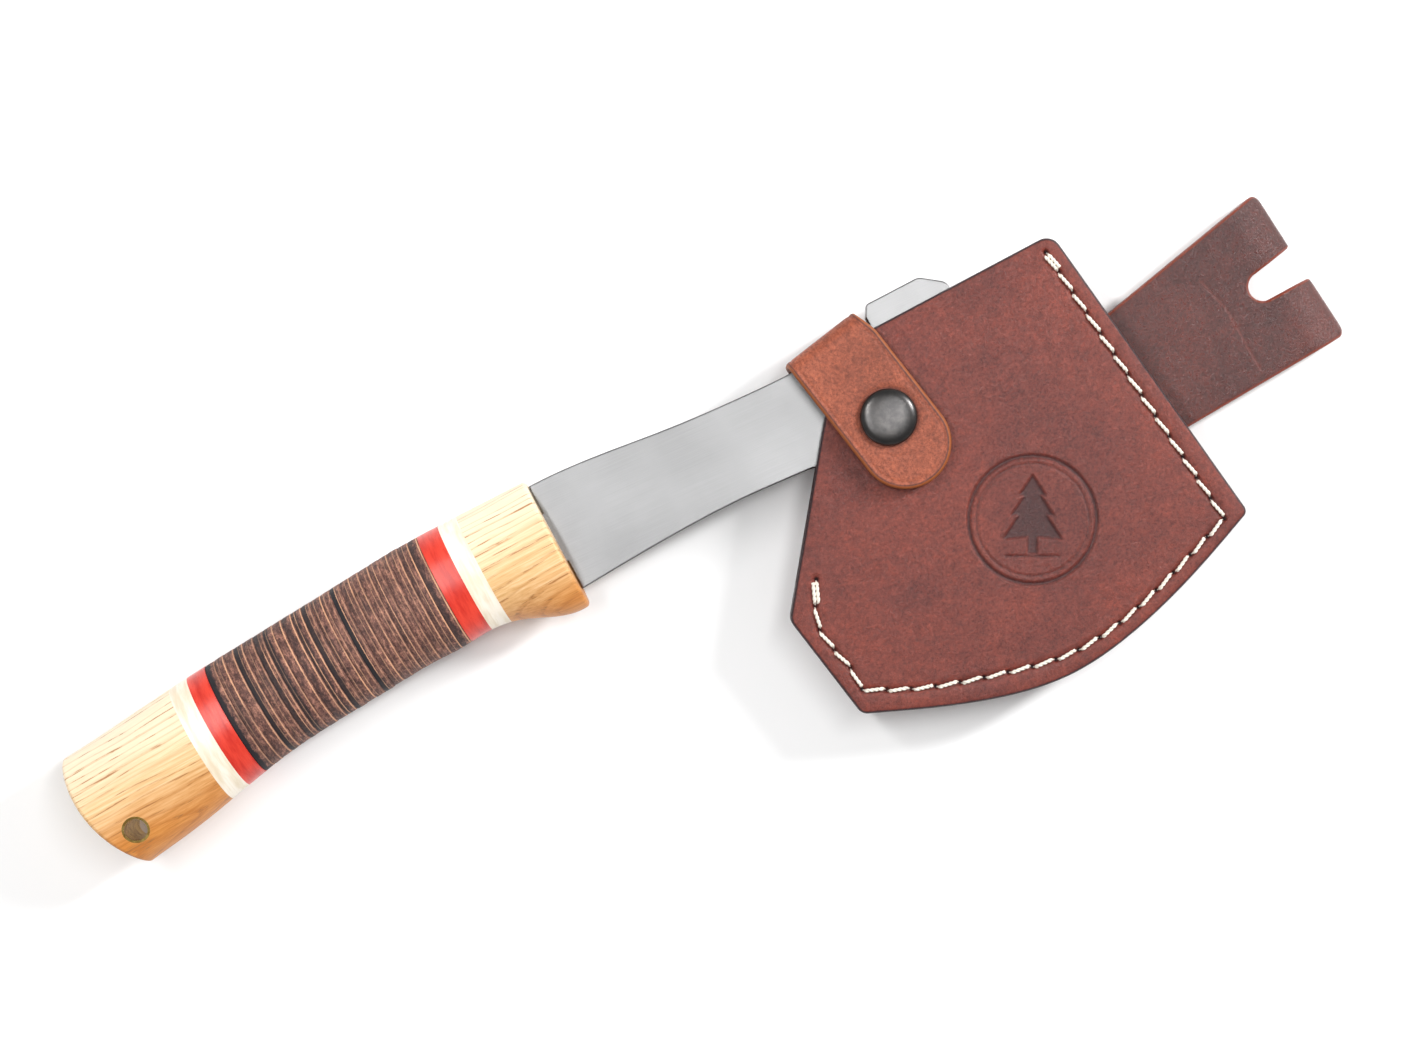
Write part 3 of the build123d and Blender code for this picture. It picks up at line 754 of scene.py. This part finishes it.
def stitch_places():
    """Middles of the awl holes in sewing order, from the CAD thread's legs."""
    shape = bmesh.new()
    shape.from_mesh(NODES["sheath_stitching"].data)
    bmesh.ops.remove_doubles(shape, verts=shape.verts[:], dist=1e-6)
    left, found = set(shape.verts), []
    while left:
        todo, group = [left.pop()], []
        while todo:
            vert = todo.pop()
            group.append(np.array(vert.co) / MM)
            for edge in vert.link_edges:
                other = edge.other_vert(vert)
                if other in left:
                    left.remove(other)
                    todo.append(other)
        group = np.array(group)
        if np.ptp(group[:, 2]) > LEG_LENGTH:
            found.append((group.min(0) + group.max(0))[:2] / 2)
    shape.free()
    order = []
    while found:
        order.append(min(found, key=lambda p: norm(p - order[-1]) if order else -p[1]))
        found = [p for p in found if p is not order[-1]]
    return np.array(order)


HOLES = stitch_places()
MARK_PLACE = np.array([241.0, -38.0])
MARK_R = 16.5
MARK_RIM = 2.0  # from its ring to the finer ring inside
MARK_TURN = radians(-28)
GROUND_Y, GROUND_HALF = -9.4, 7.2  # the short line under the tree
FIR = [(0, 11.6), (3.6, 6.2), (2.1, 6.4), (5.7, 1.0), (3.5, 1.4), (7.7, -5.0), (1.2, -4.3), (1.2, -8.6)]
PANEL_EDGE, PANEL_STEP = 0.85, 1.05  # rounding of a cut edge, and the mesh's size
WELT_EDGE, WELT_STEP = 0.3, 3.0
WAVES, CROWN, RIM, SETTLED = 0.10, 0.16, 0.12, 0.1  # heights on a panel's outer face
GROOVE, AWL_HOLE, MARK = 0.42, 0.85, 0.58  # depths pressed into it


def pressed(away, half, top):
    """A pressed line, 1 along its middle and 0 beyond its sides: top says how flat its bottom is."""
    return np.clip(top - np.abs(away) / half, 0, 1)


def mark_depths(points):
    """How deep the pressed mark is, 0 to 1: a ring and a plain fir tree."""
    c, s = cos(MARK_TURN), sin(MARK_TURN)
    arm = (points - MARK_PLACE) @ np.array([[c, -s], [s, c]])
    away = norm(arm, axis=1)
    near = away < MARK_R + 3
    ring = pressed(away - MARK_R, 0.55, 1.25)
    inner = 0.6 * pressed(away - MARK_R + MARK_RIM, 0.3, 1.2)
    tree = np.array(FIR + [(-x, y) for x, y in reversed(FIR[1:])], float)
    signed = distance(arm[near], [tree]) * np.where(inside(arm[near], [tree]), 1, -1)
    filled = np.zeros(len(points))
    filled[near] = np.clip(0.5 + signed / 0.5, 0, 1)
    ground = pressed(arm[:, 1] - GROUND_Y, 0.32, 1.2) * (np.abs(arm[:, 0]) < GROUND_HALF)
    return np.maximum.reduce([ring, inner, filled, ground * 0.8])


def groove_depths(points):
    """How deep the stitch groove is, 0 to 1, and how near an awl hole is, 0 to 1."""
    best = np.full(len(points), 99.0)
    for a, b in zip(HOLES, HOLES[1:]):
        best = np.minimum(best, to_segment(points, a, b))
    hole = np.sqrt(((points[:, None] - HOLES[None]) ** 2).sum(2)).min(1)
    return pressed(best, 0.95, 1.15), pressed(hole, 0.62, 1.35)


def wavy(points, size, seed):
    """Slow random waves over the leather, between -1 and 1."""
    rng = np.random.default_rng(seed)
    total = np.zeros(len(points))
    for _ in range(7):
        angle, phase = rng.uniform(0, tau, 2)
        way = (cos(angle), sin(angle))
        total += np.sin(points @ way * (rng.uniform(0.5, 1.3) / size) + phase)
    return total / 4


def smooth(t):
    """From 0 to 1 with an easy start and end."""
    t = np.clip(t, 0, 1)
    return t * t * (3 - 2 * t)


def panel_relief(loop, front):
    """Height of a panel's outer face over its plain plane."""
    def relief(points):
        groove, hole = groove_depths(points)
        edge = distance(points, [loop])
        rise = WAVES * wavy(points, 16, 5 if front else 9)
        rise += CROWN * smooth((edge - 5) / 12) - SETTLED
        rise += RIM * np.exp(-((edge - 3.0) / 1.1) ** 2)
        rise -= GROOVE * smooth(groove) + AWL_HOLE * smooth(hole)
        if front:
            rise -= MARK * smooth(mark_depths(points))
        return rise
    return relief


def sewing_points():
    """Extra points along the stitch line and round each hole, for a crisp groove."""
    made = []
    for a, b in zip(HOLES, HOLES[1:]):
        across = left_of(unit(b - a))
        for k in range(9):
            spot = a + (b - a) * (k + 0.5) / 9
            made += [spot + across * off for off in (-1.0, -0.62, -0.28, 0.28, 0.62, 1.0)]
    made = thin_out(np.array(made), HOLES, 0.95)
    rounds = [made]
    for hole in HOLES:
        for radius, count in ((0.0, 1), (0.33, 6), (0.62, 9), (0.88, 12)):
            rounds.append(hole + circle(radius, np.arange(count) * tau / count))
    return np.concatenate(rounds)


def mark_points():
    """Extra points over the whole mark, for crisp sides."""
    span = np.arange(-MARK_R - 1.4, MARK_R + 1.5, 0.42)
    x, y = np.meshgrid(span, span * 0.9)
    x = x + 0.21 * (np.arange(len(span)) % 2)[:, None]
    grid = np.stack([x.ravel(), y.ravel() / 0.9], 1)
    grid = grid[norm(grid, axis=1) < MARK_R + 1.3]
    return grid + MARK_PLACE


def make_panels():
    """Front and back of the sheath, and the welts between them."""
    top = box("sheath_front_panel")
    low, high = top[0][2], top[1][2]
    thick = high - low
    sewing = sewing_points()
    for name, side in (("sheath_front", 1), ("sheath_back", -1)):
        node = f"{name}_panel"
        loop = resample(outline(node, side * low), 0.8)
        fine = np.concatenate([sewing, mark_points()]) if side > 0 else sewing
        place = level(side * (low + thick / 2), side)
        data = cut_leather([loop], thick, PANEL_EDGE, PANEL_STEP, place,
                           panel_relief(loop, side > 0), fine, plain_back=True)
        points = data["flat"][:, :2]
        groove, hole = groove_depths(points)
        outer = data["flat"][:, 2] > 0
        # Painted shade: near-black in the awl holes. The stitch groove and the pressed mark are darker,
        # partly the darker pressed leather and partly painted shade.
        dye_and_shade = 0.9 * smooth(hole) + 0.28 * smooth(groove)
        if side > 0:
            dye_and_shade = np.maximum(dye_and_shade, 0.7 * smooth(mark_depths(points)))
        data["dye_and_shade"] = np.clip(dye_and_shade, 0, 1) * outer
        make_piece(name, data, "sheath", SHEATH, [node])
    for part in ("right", "bottom", "left"):
        node = f"welt_{part}"
        loop = resample(outline(node, box(node)[1][2]), 0.9)
        data = cut_leather([loop], 2 * low, WELT_EDGE, WELT_STEP, level(0.0), plain_back=True)
        data["dye_and_shade"] = np.full(len(data["verts"]), 0.35)
        make_piece(f"sheath_{node}", data, "sheath", SHEATH, [node])


def tube(points, radius, sides, start):
    """A closed tube round a line of points, as (verts, faces), numbered from start."""
    points = np.asarray(points)
    ahead = np.gradient(points, axis=0)
    ahead /= norm(ahead, axis=1)[:, None]
    up = np.array([0.0, 0.0, 1.0])
    ring = circle(radius, np.arange(sides) * tau / sides)
    verts = []
    for point, way in zip(points, ahead):
        across = unit(np.cross(way, up + 1e-3))
        over = np.cross(across, way)
        verts += [point + x * across + y * over for x, y in ring]
    return verts, closed_rings(len(points), sides, start)


STRAND_R, STRAND_SIDES = 0.31, 7
TWIST_R, TWISTS = 0.21, 2.3  # the strands' swing round each other, and turns in one stitch
STITCH_SLANT = -0.4  # across the seam at each end
STITCH_SHORT = 0.42  # cut off along the seam at each end
STITCH_LIFT = 0.09  # of the thread's middle over the panel
DIVE, DIVE_RUN = 1.5, 1.05  # how deep the ends go into their holes, and over what length
DOUBLE = 0.48  # sideways, of the doubled stitches at both ends of the seam


def make_thread():
    """Saddle stitches front and back: two twisted strands that dive into the awl holes."""
    face = box("sheath_front_panel")[1][2]
    share = np.linspace(0, 1, 27)
    verts, faces = [], []
    for side in (1, -1):
        for n, (a, b) in enumerate(zip(HOLES, HOLES[1:])):
            span = b - a
            along = unit(span)
            across = left_of(along)
            double = n in (0, len(HOLES) - 2)
            for offset in ((-DOUBLE, DOUBLE) if double else (0.0,)):
                sideways = offset + STITCH_SLANT * (1 - 2 * share)
                flat = a + share[:, None] * span + across * sideways[:, None]
                flat += along * (STITCH_SHORT * (1 - 2 * share))[:, None]
                end = np.minimum(share, 1 - share) * norm(span)
                lift = STITCH_LIFT - DIVE * (1 - smooth(end / DIVE_RUN))
                phase = tau * share * TWISTS + n
                for strand in (0, pi):
                    swing = TWIST_R * np.cos(phase + strand)
                    rise = TWIST_R * np.sin(phase + strand)
                    height = side * (face + lift + rise)
                    line = np.column_stack([flat + across * swing[:, None], height])
                    made = tube(line, STRAND_R, STRAND_SIDES, len(verts))
                    verts += made[0]
                    faces += made[1]
    data = {"verts": verts, "faces": faces}
    make_piece("saddle_stitching", data, "sheath", THREAD, ["sheath_stitching"])


# ---- strap
STRAP_PLACE, STRAP_ANGLE = (215.06, 29.19), -80.0
STRAP_THICK, STRAP_HALF, STRAP_TIP, STRAP_BEND = 2.0, 11.9, 46.6, 3.0
STRAP_EDGE, STRAP_STEP = 0.85, 0.8  # rounding of the cut edge, and the mesh's size
SIDE_MID = 1.0  # from the strap's outer fold to the middle of its side
TAIL_END = 30.0
SIDE_POINTS, TIP_POINTS = 90, 46  # of the strap's outline, along one side and round its tip
WAIST = 1.5  # how much narrower the upper edge is at the side
CREASE_AT, CREASE_HALF, CREASE = 1.75, 0.35, 0.16  # the line pressed along the edge


def make_strap():
    """The retaining strap: one bent cut of leather, parted in the middle of its side."""
    tail_mid = middle("strap_tail")[2]
    flap_mid = middle("strap_flap")[2]
    corners = [(TAIL_END, tail_mid), (SIDE_MID, tail_mid), (SIDE_MID, flap_mid), (STRAP_TIP, flap_mid)]
    line = bent_line(corners, [STRAP_BEND] * 2)
    shift = line[0][-1] - STRAP_TIP
    first = -shift
    mid_side = float(np.interp((tail_mid + flap_mid) / 2, line[1][:, 1], line[0])) - shift
    round_at = STRAP_TIP - STRAP_HALF
    lower_side = [(s, -STRAP_HALF) for s in np.linspace(first, round_at, SIDE_POINTS)]
    tip = list(circle(STRAP_HALF, np.linspace(-pi / 2, pi / 2, TIP_POINTS + 2)[1:-1]) + (round_at, 0))
    upper_side = []
    for s in np.linspace(round_at, first, SIDE_POINTS):
        near = smooth(1 - s / 8.0) * smooth((s + 20.0) / 8.0)
        upper_side.append((s, STRAP_HALF - WAIST * float(near)))
    loop = np.array(lower_side + tip + upper_side)
    upper = SIDE_POINTS + TIP_POINTS
    side_ids = [int(np.argmin(np.abs(loop[:SIDE_POINTS, 0] - mid_side)))]
    side_ids.append(upper + int(np.argmin(np.abs(loop[upper:, 0] - mid_side))))
    loop[side_ids, 0] = mid_side
    ends = inset(loop, STRAP_EDGE)[side_ids]
    cut = np.array([(mid_side, y) for y in np.linspace(ends[0][1], ends[1][1], 24)])
    place = along_line(line, STRAP_PLACE, STRAP_ANGLE, shift)
    centre = middle("snap_cap")[:2] - np.array(STRAP_PLACE)
    c, s = cos(radians(STRAP_ANGLE)), sin(radians(STRAP_ANGLE))
    snap = np.array([centre[0] * c + centre[1] * s, -centre[0] * s + centre[1] * c])

    def relief(points):
        edge = distance(points, [loop])
        away = norm(points - snap, axis=1)
        below = norm(points - snap - np.array([2.6, 0.9]), axis=1)
        rise = 0.07 * wavy(points, 9, 3)
        rise -= CREASE * np.exp(-((edge - CREASE_AT) / CREASE_HALF) ** 2)
        rise -= 0.35 * np.exp(-((away - 7.3) / 1.0) ** 2)
        arc = np.exp(-((below - 8.6) / 0.28) ** 2) * smooth((points[:, 0] - snap[0] - 3) / 4)
        return rise - 0.13 * arc

    around = []
    for radius in np.arange(5.6, 12.6, 0.42):
        around.append(snap + circle(radius, np.arange(0, tau, 0.6 / radius)))
    rims = [inset(loop, depth) for depth in (1.15, 1.45, 1.75, 2.05, 2.4)]
    rims = [r[np.abs(r[:, 0] - mid_side) > 0.3] for r in rims]
    rims.append(thin_out(np.concatenate(around), np.concatenate(rims), 0.3))
    fine = np.concatenate(rims)
    data = cut_leather([loop], STRAP_THICK, STRAP_EDGE, STRAP_STEP, place, relief, fine, [cut])
    away = norm(data["flat"][:, :2] - snap, axis=1)
    outer = data["flat"][:, 2] > 0
    # The strap's dye and painted-shade share: painted shade in the ring pressed round the snap, a dyed line
    # where the edge starts to round off, and a dyed rim underneath.
    data["dye_and_shade"] = 0.35 * np.exp(-((away - 7.5) / 0.5) ** 2) * outer
    data["dye_and_shade"] += 0.75 * np.exp(-((data["edge"] - 0.86) / 0.13) ** 2) * outer
    data["dye_and_shade"] += 0.45 * (data["edge"] < 0.01) * ~outer
    made = []
    for name, node, keep in (("strap_lower", ["strap_tail", "strap_side"], lambda s: s < mid_side),
                             ("strap_upper", ["strap_flap"], lambda s: s > mid_side)):
        made.append(make_piece(name, data, None, STRAP, node, keep))

    def corner(u, z):
        return (STRAP_PLACE[0] * MM + u * MM * c, STRAP_PLACE[1] * MM + u * MM * s, z * MM)
    bend = SIDE_MID + STRAP_BEND
    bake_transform(made[0], "sheath", "strap_bend",
             corner(bend, tail_mid), corner(SIDE_MID, tail_mid + STRAP_BEND))
    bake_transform(made[1], "strap_bend", "strap_front",
             corner(SIDE_MID, flap_mid - STRAP_BEND), corner(bend, flap_mid))


CAP_DOME = [(0.001, 0), (0.2, 0.012), (0.4, 0.05), (0.58, 0.12), (0.72, 0.24), (0.81, 0.38), (0.88, 0.58),
            (0.94, 0.86), (0.98, 1.2), (1.0, 1.65), (0.985, 1.98)]  # outwards, over the radius, and down
CAP_UNDER = [(0.94, 0.12), (0.6, 0.2)]  # the hidden rim, and its depth in the strap's leather
CAP_POINTS = 96


def make_cap():
    """The snap's pressed cap: a shallow dome with a rolled rim."""
    low, high = box("snap_cap")
    centre = middle("snap_cap")
    radius = (high[0] - low[0]) / 2
    leather_top = box("strap_flap")[1][2]
    profile = [(share, high[2] - down) for share, down in CAP_DOME]
    profile += [(share, leather_top - down) for share, down in CAP_UNDER]
    count = CAP_POINTS
    verts = []
    for share, z in profile:
        ring = centre[:2] + circle(radius * share, np.arange(count) * tau / count)
        verts += [(x, y, z) for x, y in ring]
    data = {"verts": verts, "faces": closed_rings(len(profile), count)}
    make_piece("snap_cap_dome", data, "strap_front", GUNMETAL, ["snap_cap"])


# ---- belt loop
LOOP_PLACE, LOOP_ANGLE, LOOP_LENGTH = (336.7, -12.6), 5.0, 92.0
LOOP_THICK, LOOP_GAP, LOOP_OVERLAP = 2.3, 4.6, 2.4
LOOP_EDGE, LOOP_STEP = 0.6, 0.9  # rounding of the cut edge, and the mesh's size
LOOP_LEFT, LOOP_RIGHT = (12.2, 10.3), (-17.6, -4.0)  # half widths at the rivets, and more at the fold
LOOP_RAMP = (-56, -66)  # where the rear layer comes up to be riveted
LOOP_EASE_R = 6
LOOP_ROLL_R, LOOP_ROLL = 14.0, radians(40)
LOOP_CORNER = 2.2
LOOP_POINTS = 320  # along each long side, closer together round the fold
NOTCH_END, NOTCH_HALF, NOTCH_SHIFT, NOTCH_FLARE = 16.3, 3.85, 0.8, 0.95
SCRATCH = np.array([(66.5, 10.6), (68.1, 1.1), (67.0, -16.6)])  # length along the strip, and across


def loop_line():
    """The strip's bent middle line: a soft roll and a tight fold, and the layers riveted behind."""
    front_mid = box("belt_loop")[1][2] - LOOP_THICK / 2
    rear_mid = front_mid - LOOP_THICK - LOOP_GAP
    stack_mid = front_mid - LOOP_OVERLAP
    c, s = cos(LOOP_ROLL), sin(LOOP_ROLL)
    fold_r = (LOOP_THICK + LOOP_GAP - LOOP_ROLL_R * (1 - c)) / (1 + c)
    start = -LOOP_THICK / 2 - (LOOP_ROLL_R - fold_r) * s - fold_r
    into_roll = LOOP_ROLL_R * tan(LOOP_ROLL / 2)
    down = into_roll + fold_r * tan((pi - LOOP_ROLL) / 2)
    first = (start + into_roll, front_mid)
    corners = [(-LOOP_LENGTH, front_mid), first, (first[0] + down * c, front_mid - down * s),
               (LOOP_RAMP[0], rear_mid), (LOOP_RAMP[1], stack_mid), (-LOOP_LENGTH, stack_mid)]
    return bent_line(corners, [LOOP_ROLL_R, fold_r, LOOP_EASE_R, LOOP_EASE_R])


def make_loop():
    """The belt loop: one strip rolled and folded at its outer end, with a notch through the fold."""
    line = loop_line()
    length, points, normals = line
    outer = points[:, 0] + normals[:, 0] * LOOP_THICK / 2

    def width(s):
        """Left and right edge at a length along the strip, and the place along +X there."""
        u = float(np.interp(s, length, outer))
        share = (u + LOOP_LENGTH) / LOOP_LENGTH
        corner = max(u + LOOP_CORNER - 0.05, 0)
        drop = LOOP_CORNER - sqrt(LOOP_CORNER ** 2 - corner * corner)
        left = LOOP_LEFT[0] + LOOP_LEFT[1] * share - drop
        return left, LOOP_RIGHT[0] + LOOP_RIGHT[1] * share + drop, u

    marks = np.interp(np.linspace(0, 1, LOOP_POINTS), [0, 0.34, 0.66, 1], [0, 77, 103, length[-1]])
    loop = np.array([(s, width(s)[1]) for s in marks] + [(s, width(s)[0]) for s in marks[::-1]])
    turn = int(np.argmax(outer))
    reach = LOOP_LENGTH - NOTCH_END + NOTCH_HALF
    rear_reach = float(np.interp(NOTCH_END - NOTCH_HALF, -points[turn:, 0], length[turn:]))
    upper, lower = [], []
    for s in np.linspace(reach, rear_reach, 70):
        half = NOTCH_HALF + NOTCH_FLARE * (width(s)[2] / (NOTCH_END - NOTCH_HALF) + 1)
        upper.append((s, NOTCH_SHIFT + half))
        lower.append((s, NOTCH_SHIFT - half))
    swing = np.linspace(pi / 2, 3 * pi / 2, 16)[1:-1]
    arms = circle(NOTCH_HALF, swing) + (0, NOTCH_SHIFT)
    left = [(reach + x, y) for x, y in arms[::-1]]
    right = [(rear_reach - x, y) for x, y in arms]
    notch = np.array(lower[::-1] + left + upper + right)
    if area(notch) > 0:
        notch = notch[::-1]

    def scratched(at):
        return np.minimum(to_segment(at, *SCRATCH[:2]), to_segment(at, *SCRATCH[1:]))

    def relief(at):
        edge = distance(at, [loop, notch])
        rise = 0.13 * wavy(at, 12, 21) - 0.1 * np.exp(-(edge / 0.9) ** 2)
        return rise - 0.14 * np.clip(1 - scratched(at) / 0.35, 0, 1) - 0.02

    fine = []
    for a, b in zip(SCRATCH, SCRATCH[1:]):
        across = left_of(unit(b - a))
        for share in np.linspace(0, 1, 50):
            fine += [a + (b - a) * share + across * off for off in (-0.5, -0.2, 0.2, 0.5)]
    place = along_line(line, LOOP_PLACE, LOOP_ANGLE, 0.0)
    data = cut_leather([loop, notch], LOOP_THICK, LOOP_EDGE, LOOP_STEP, place, relief, np.array(fine))
    data["scuff"] = np.clip(1.3 - scratched(data["flat"][:, :2]) / 0.4, 0, 1) * (data["flat"][:, 2] > 0)
    make_piece("belt_loop_strip", data, "sheath", LOOP, ["belt_loop"])


# ---- CAD pieces that stay
def finish_nodes():
    """Give every CAD node that stays its material."""
    kinds = {"blade": STEEL, "tube": BRASS, "pommel": WOOD, "bolster": WOOD, "white": WHITE,
             "red": RED, "snap": GUNMETAL, "rivets": GUNMETAL}
    for name, node in NODES.items():
        found = [material for word, material in kinds.items() if word in name.split("_")]
        if found:
            node.data.materials.clear()
            node.data.materials.append(found[0])


# ---- floor, light and camera
FLOOR_GAP = 0.0002  # metres, here and below
FLOOR_HALF, FLOOR_PARTS = 3.0, 12
FLOOR_MIDDLE_X = 0.16
ROOM_LOW, ROOM_HIGH, ROOM_TOP = 0.56, 0.31, 0.7  # brightness at the horizon, higher up, and where
LAMPS = [  # name, place, aim, size, watts
    ("key", (-0.09, 0.36, 0.95), (-0.07, -0.01, 0), (0.13, 0.8), 6.0),
    ("sheen", (0.40, 0.03, 0.95), (0.38, 0.02, 0), (0.07, 0.4), 2.6),
    ("side", (1.1, 0.05, 0.62), (0.3, -0.01, 0), (0.12, 0.4), 10.5),
]
CAMERA_PLACE = (0.1664, -0.0010, 0.85)
CAMERA_TURN = radians(-28)
CAMERA_LENS, CAMERA_SENSOR = 82.9, 36.0  # millimetres


def make_floor():
    """A plain pale sheet just under the piece."""
    mesh = bpy.data.meshes.new("floor")
    shape = bmesh.new()
    bmesh.ops.create_grid(shape, x_segments=FLOOR_PARTS, y_segments=FLOOR_PARTS, size=FLOOR_HALF)
    shape.to_mesh(mesh)
    shape.free()
    floor = add_object("floor", mesh)
    floor.location = (FLOOR_MIDDLE_X, 0, CAD_BOX[0][2] - FLOOR_GAP)
    f = Finish("floor_paper", Specular_IOR_Level=0.2)
    soft = f.noise(f.place((0.004, 0.004, 0.004)), 1.0, 2)
    colour = f.ramp(soft, (0.3, (0.93, 0.93, 0.93, 1)), (0.7, (0.95, 0.95, 0.95, 1)))
    mesh.materials.append(f.wear(colour, f.even(soft, 0.8, 0.9)))


def make_room():
    """A white room, dimmer overhead, and three soft lamps."""
    world = bpy.data.worlds.new("studio")
    world.use_nodes = True
    nodes, links = world.node_tree.nodes, world.node_tree.links
    height = nodes.new("ShaderNodeSeparateXYZ")
    links.new(nodes.new("ShaderNodeTexCoord").outputs["Generated"], height.inputs[0])
    spread = nodes.new("ShaderNodeMapRange")
    links.new(height.outputs[2], spread.inputs["Value"])
    for key, value in (("From Max", ROOM_TOP), ("To Min", ROOM_LOW), ("To Max", ROOM_HIGH)):
        spread.inputs[key].default_value = value
    links.new(spread.outputs[0], nodes["Background"].inputs[1])
    nodes["Background"].inputs[0].default_value = (1.0, 1.0, 1.0, 1)
    bpy.context.scene.world = world
    for name, place, aim, size, power in LAMPS:
        light = bpy.data.lights.new(name, "AREA")
        light.shape = "RECTANGLE"
        light.size, light.size_y = size
        light.energy = power
        made = add_object(name, light)
        made.location = place
        made.rotation_mode = "QUATERNION"
        made.rotation_quaternion = (Vector(aim) - Vector(place)).to_track_quat("-Z", "Y")


def make_camera():
    """Straight above the piece, turned so that it lies as in the photograph."""
    scene = bpy.context.scene
    scene.view_settings.view_transform = "Standard"
    camera = bpy.data.cameras.new("camera")
    camera.sensor_width = CAMERA_SENSOR
    camera.lens = CAMERA_LENS
    camera.clip_start = 0.01
    made = add_object("camera", camera)
    made.location = CAMERA_PLACE
    made.rotation_euler = (0, 0, CAMERA_TURN)
    scene.camera = made


make_floor()
make_room()
make_camera()
finish_nodes()
make_washers()
make_panels()
make_thread()
make_strap()
make_cap()
make_loop()
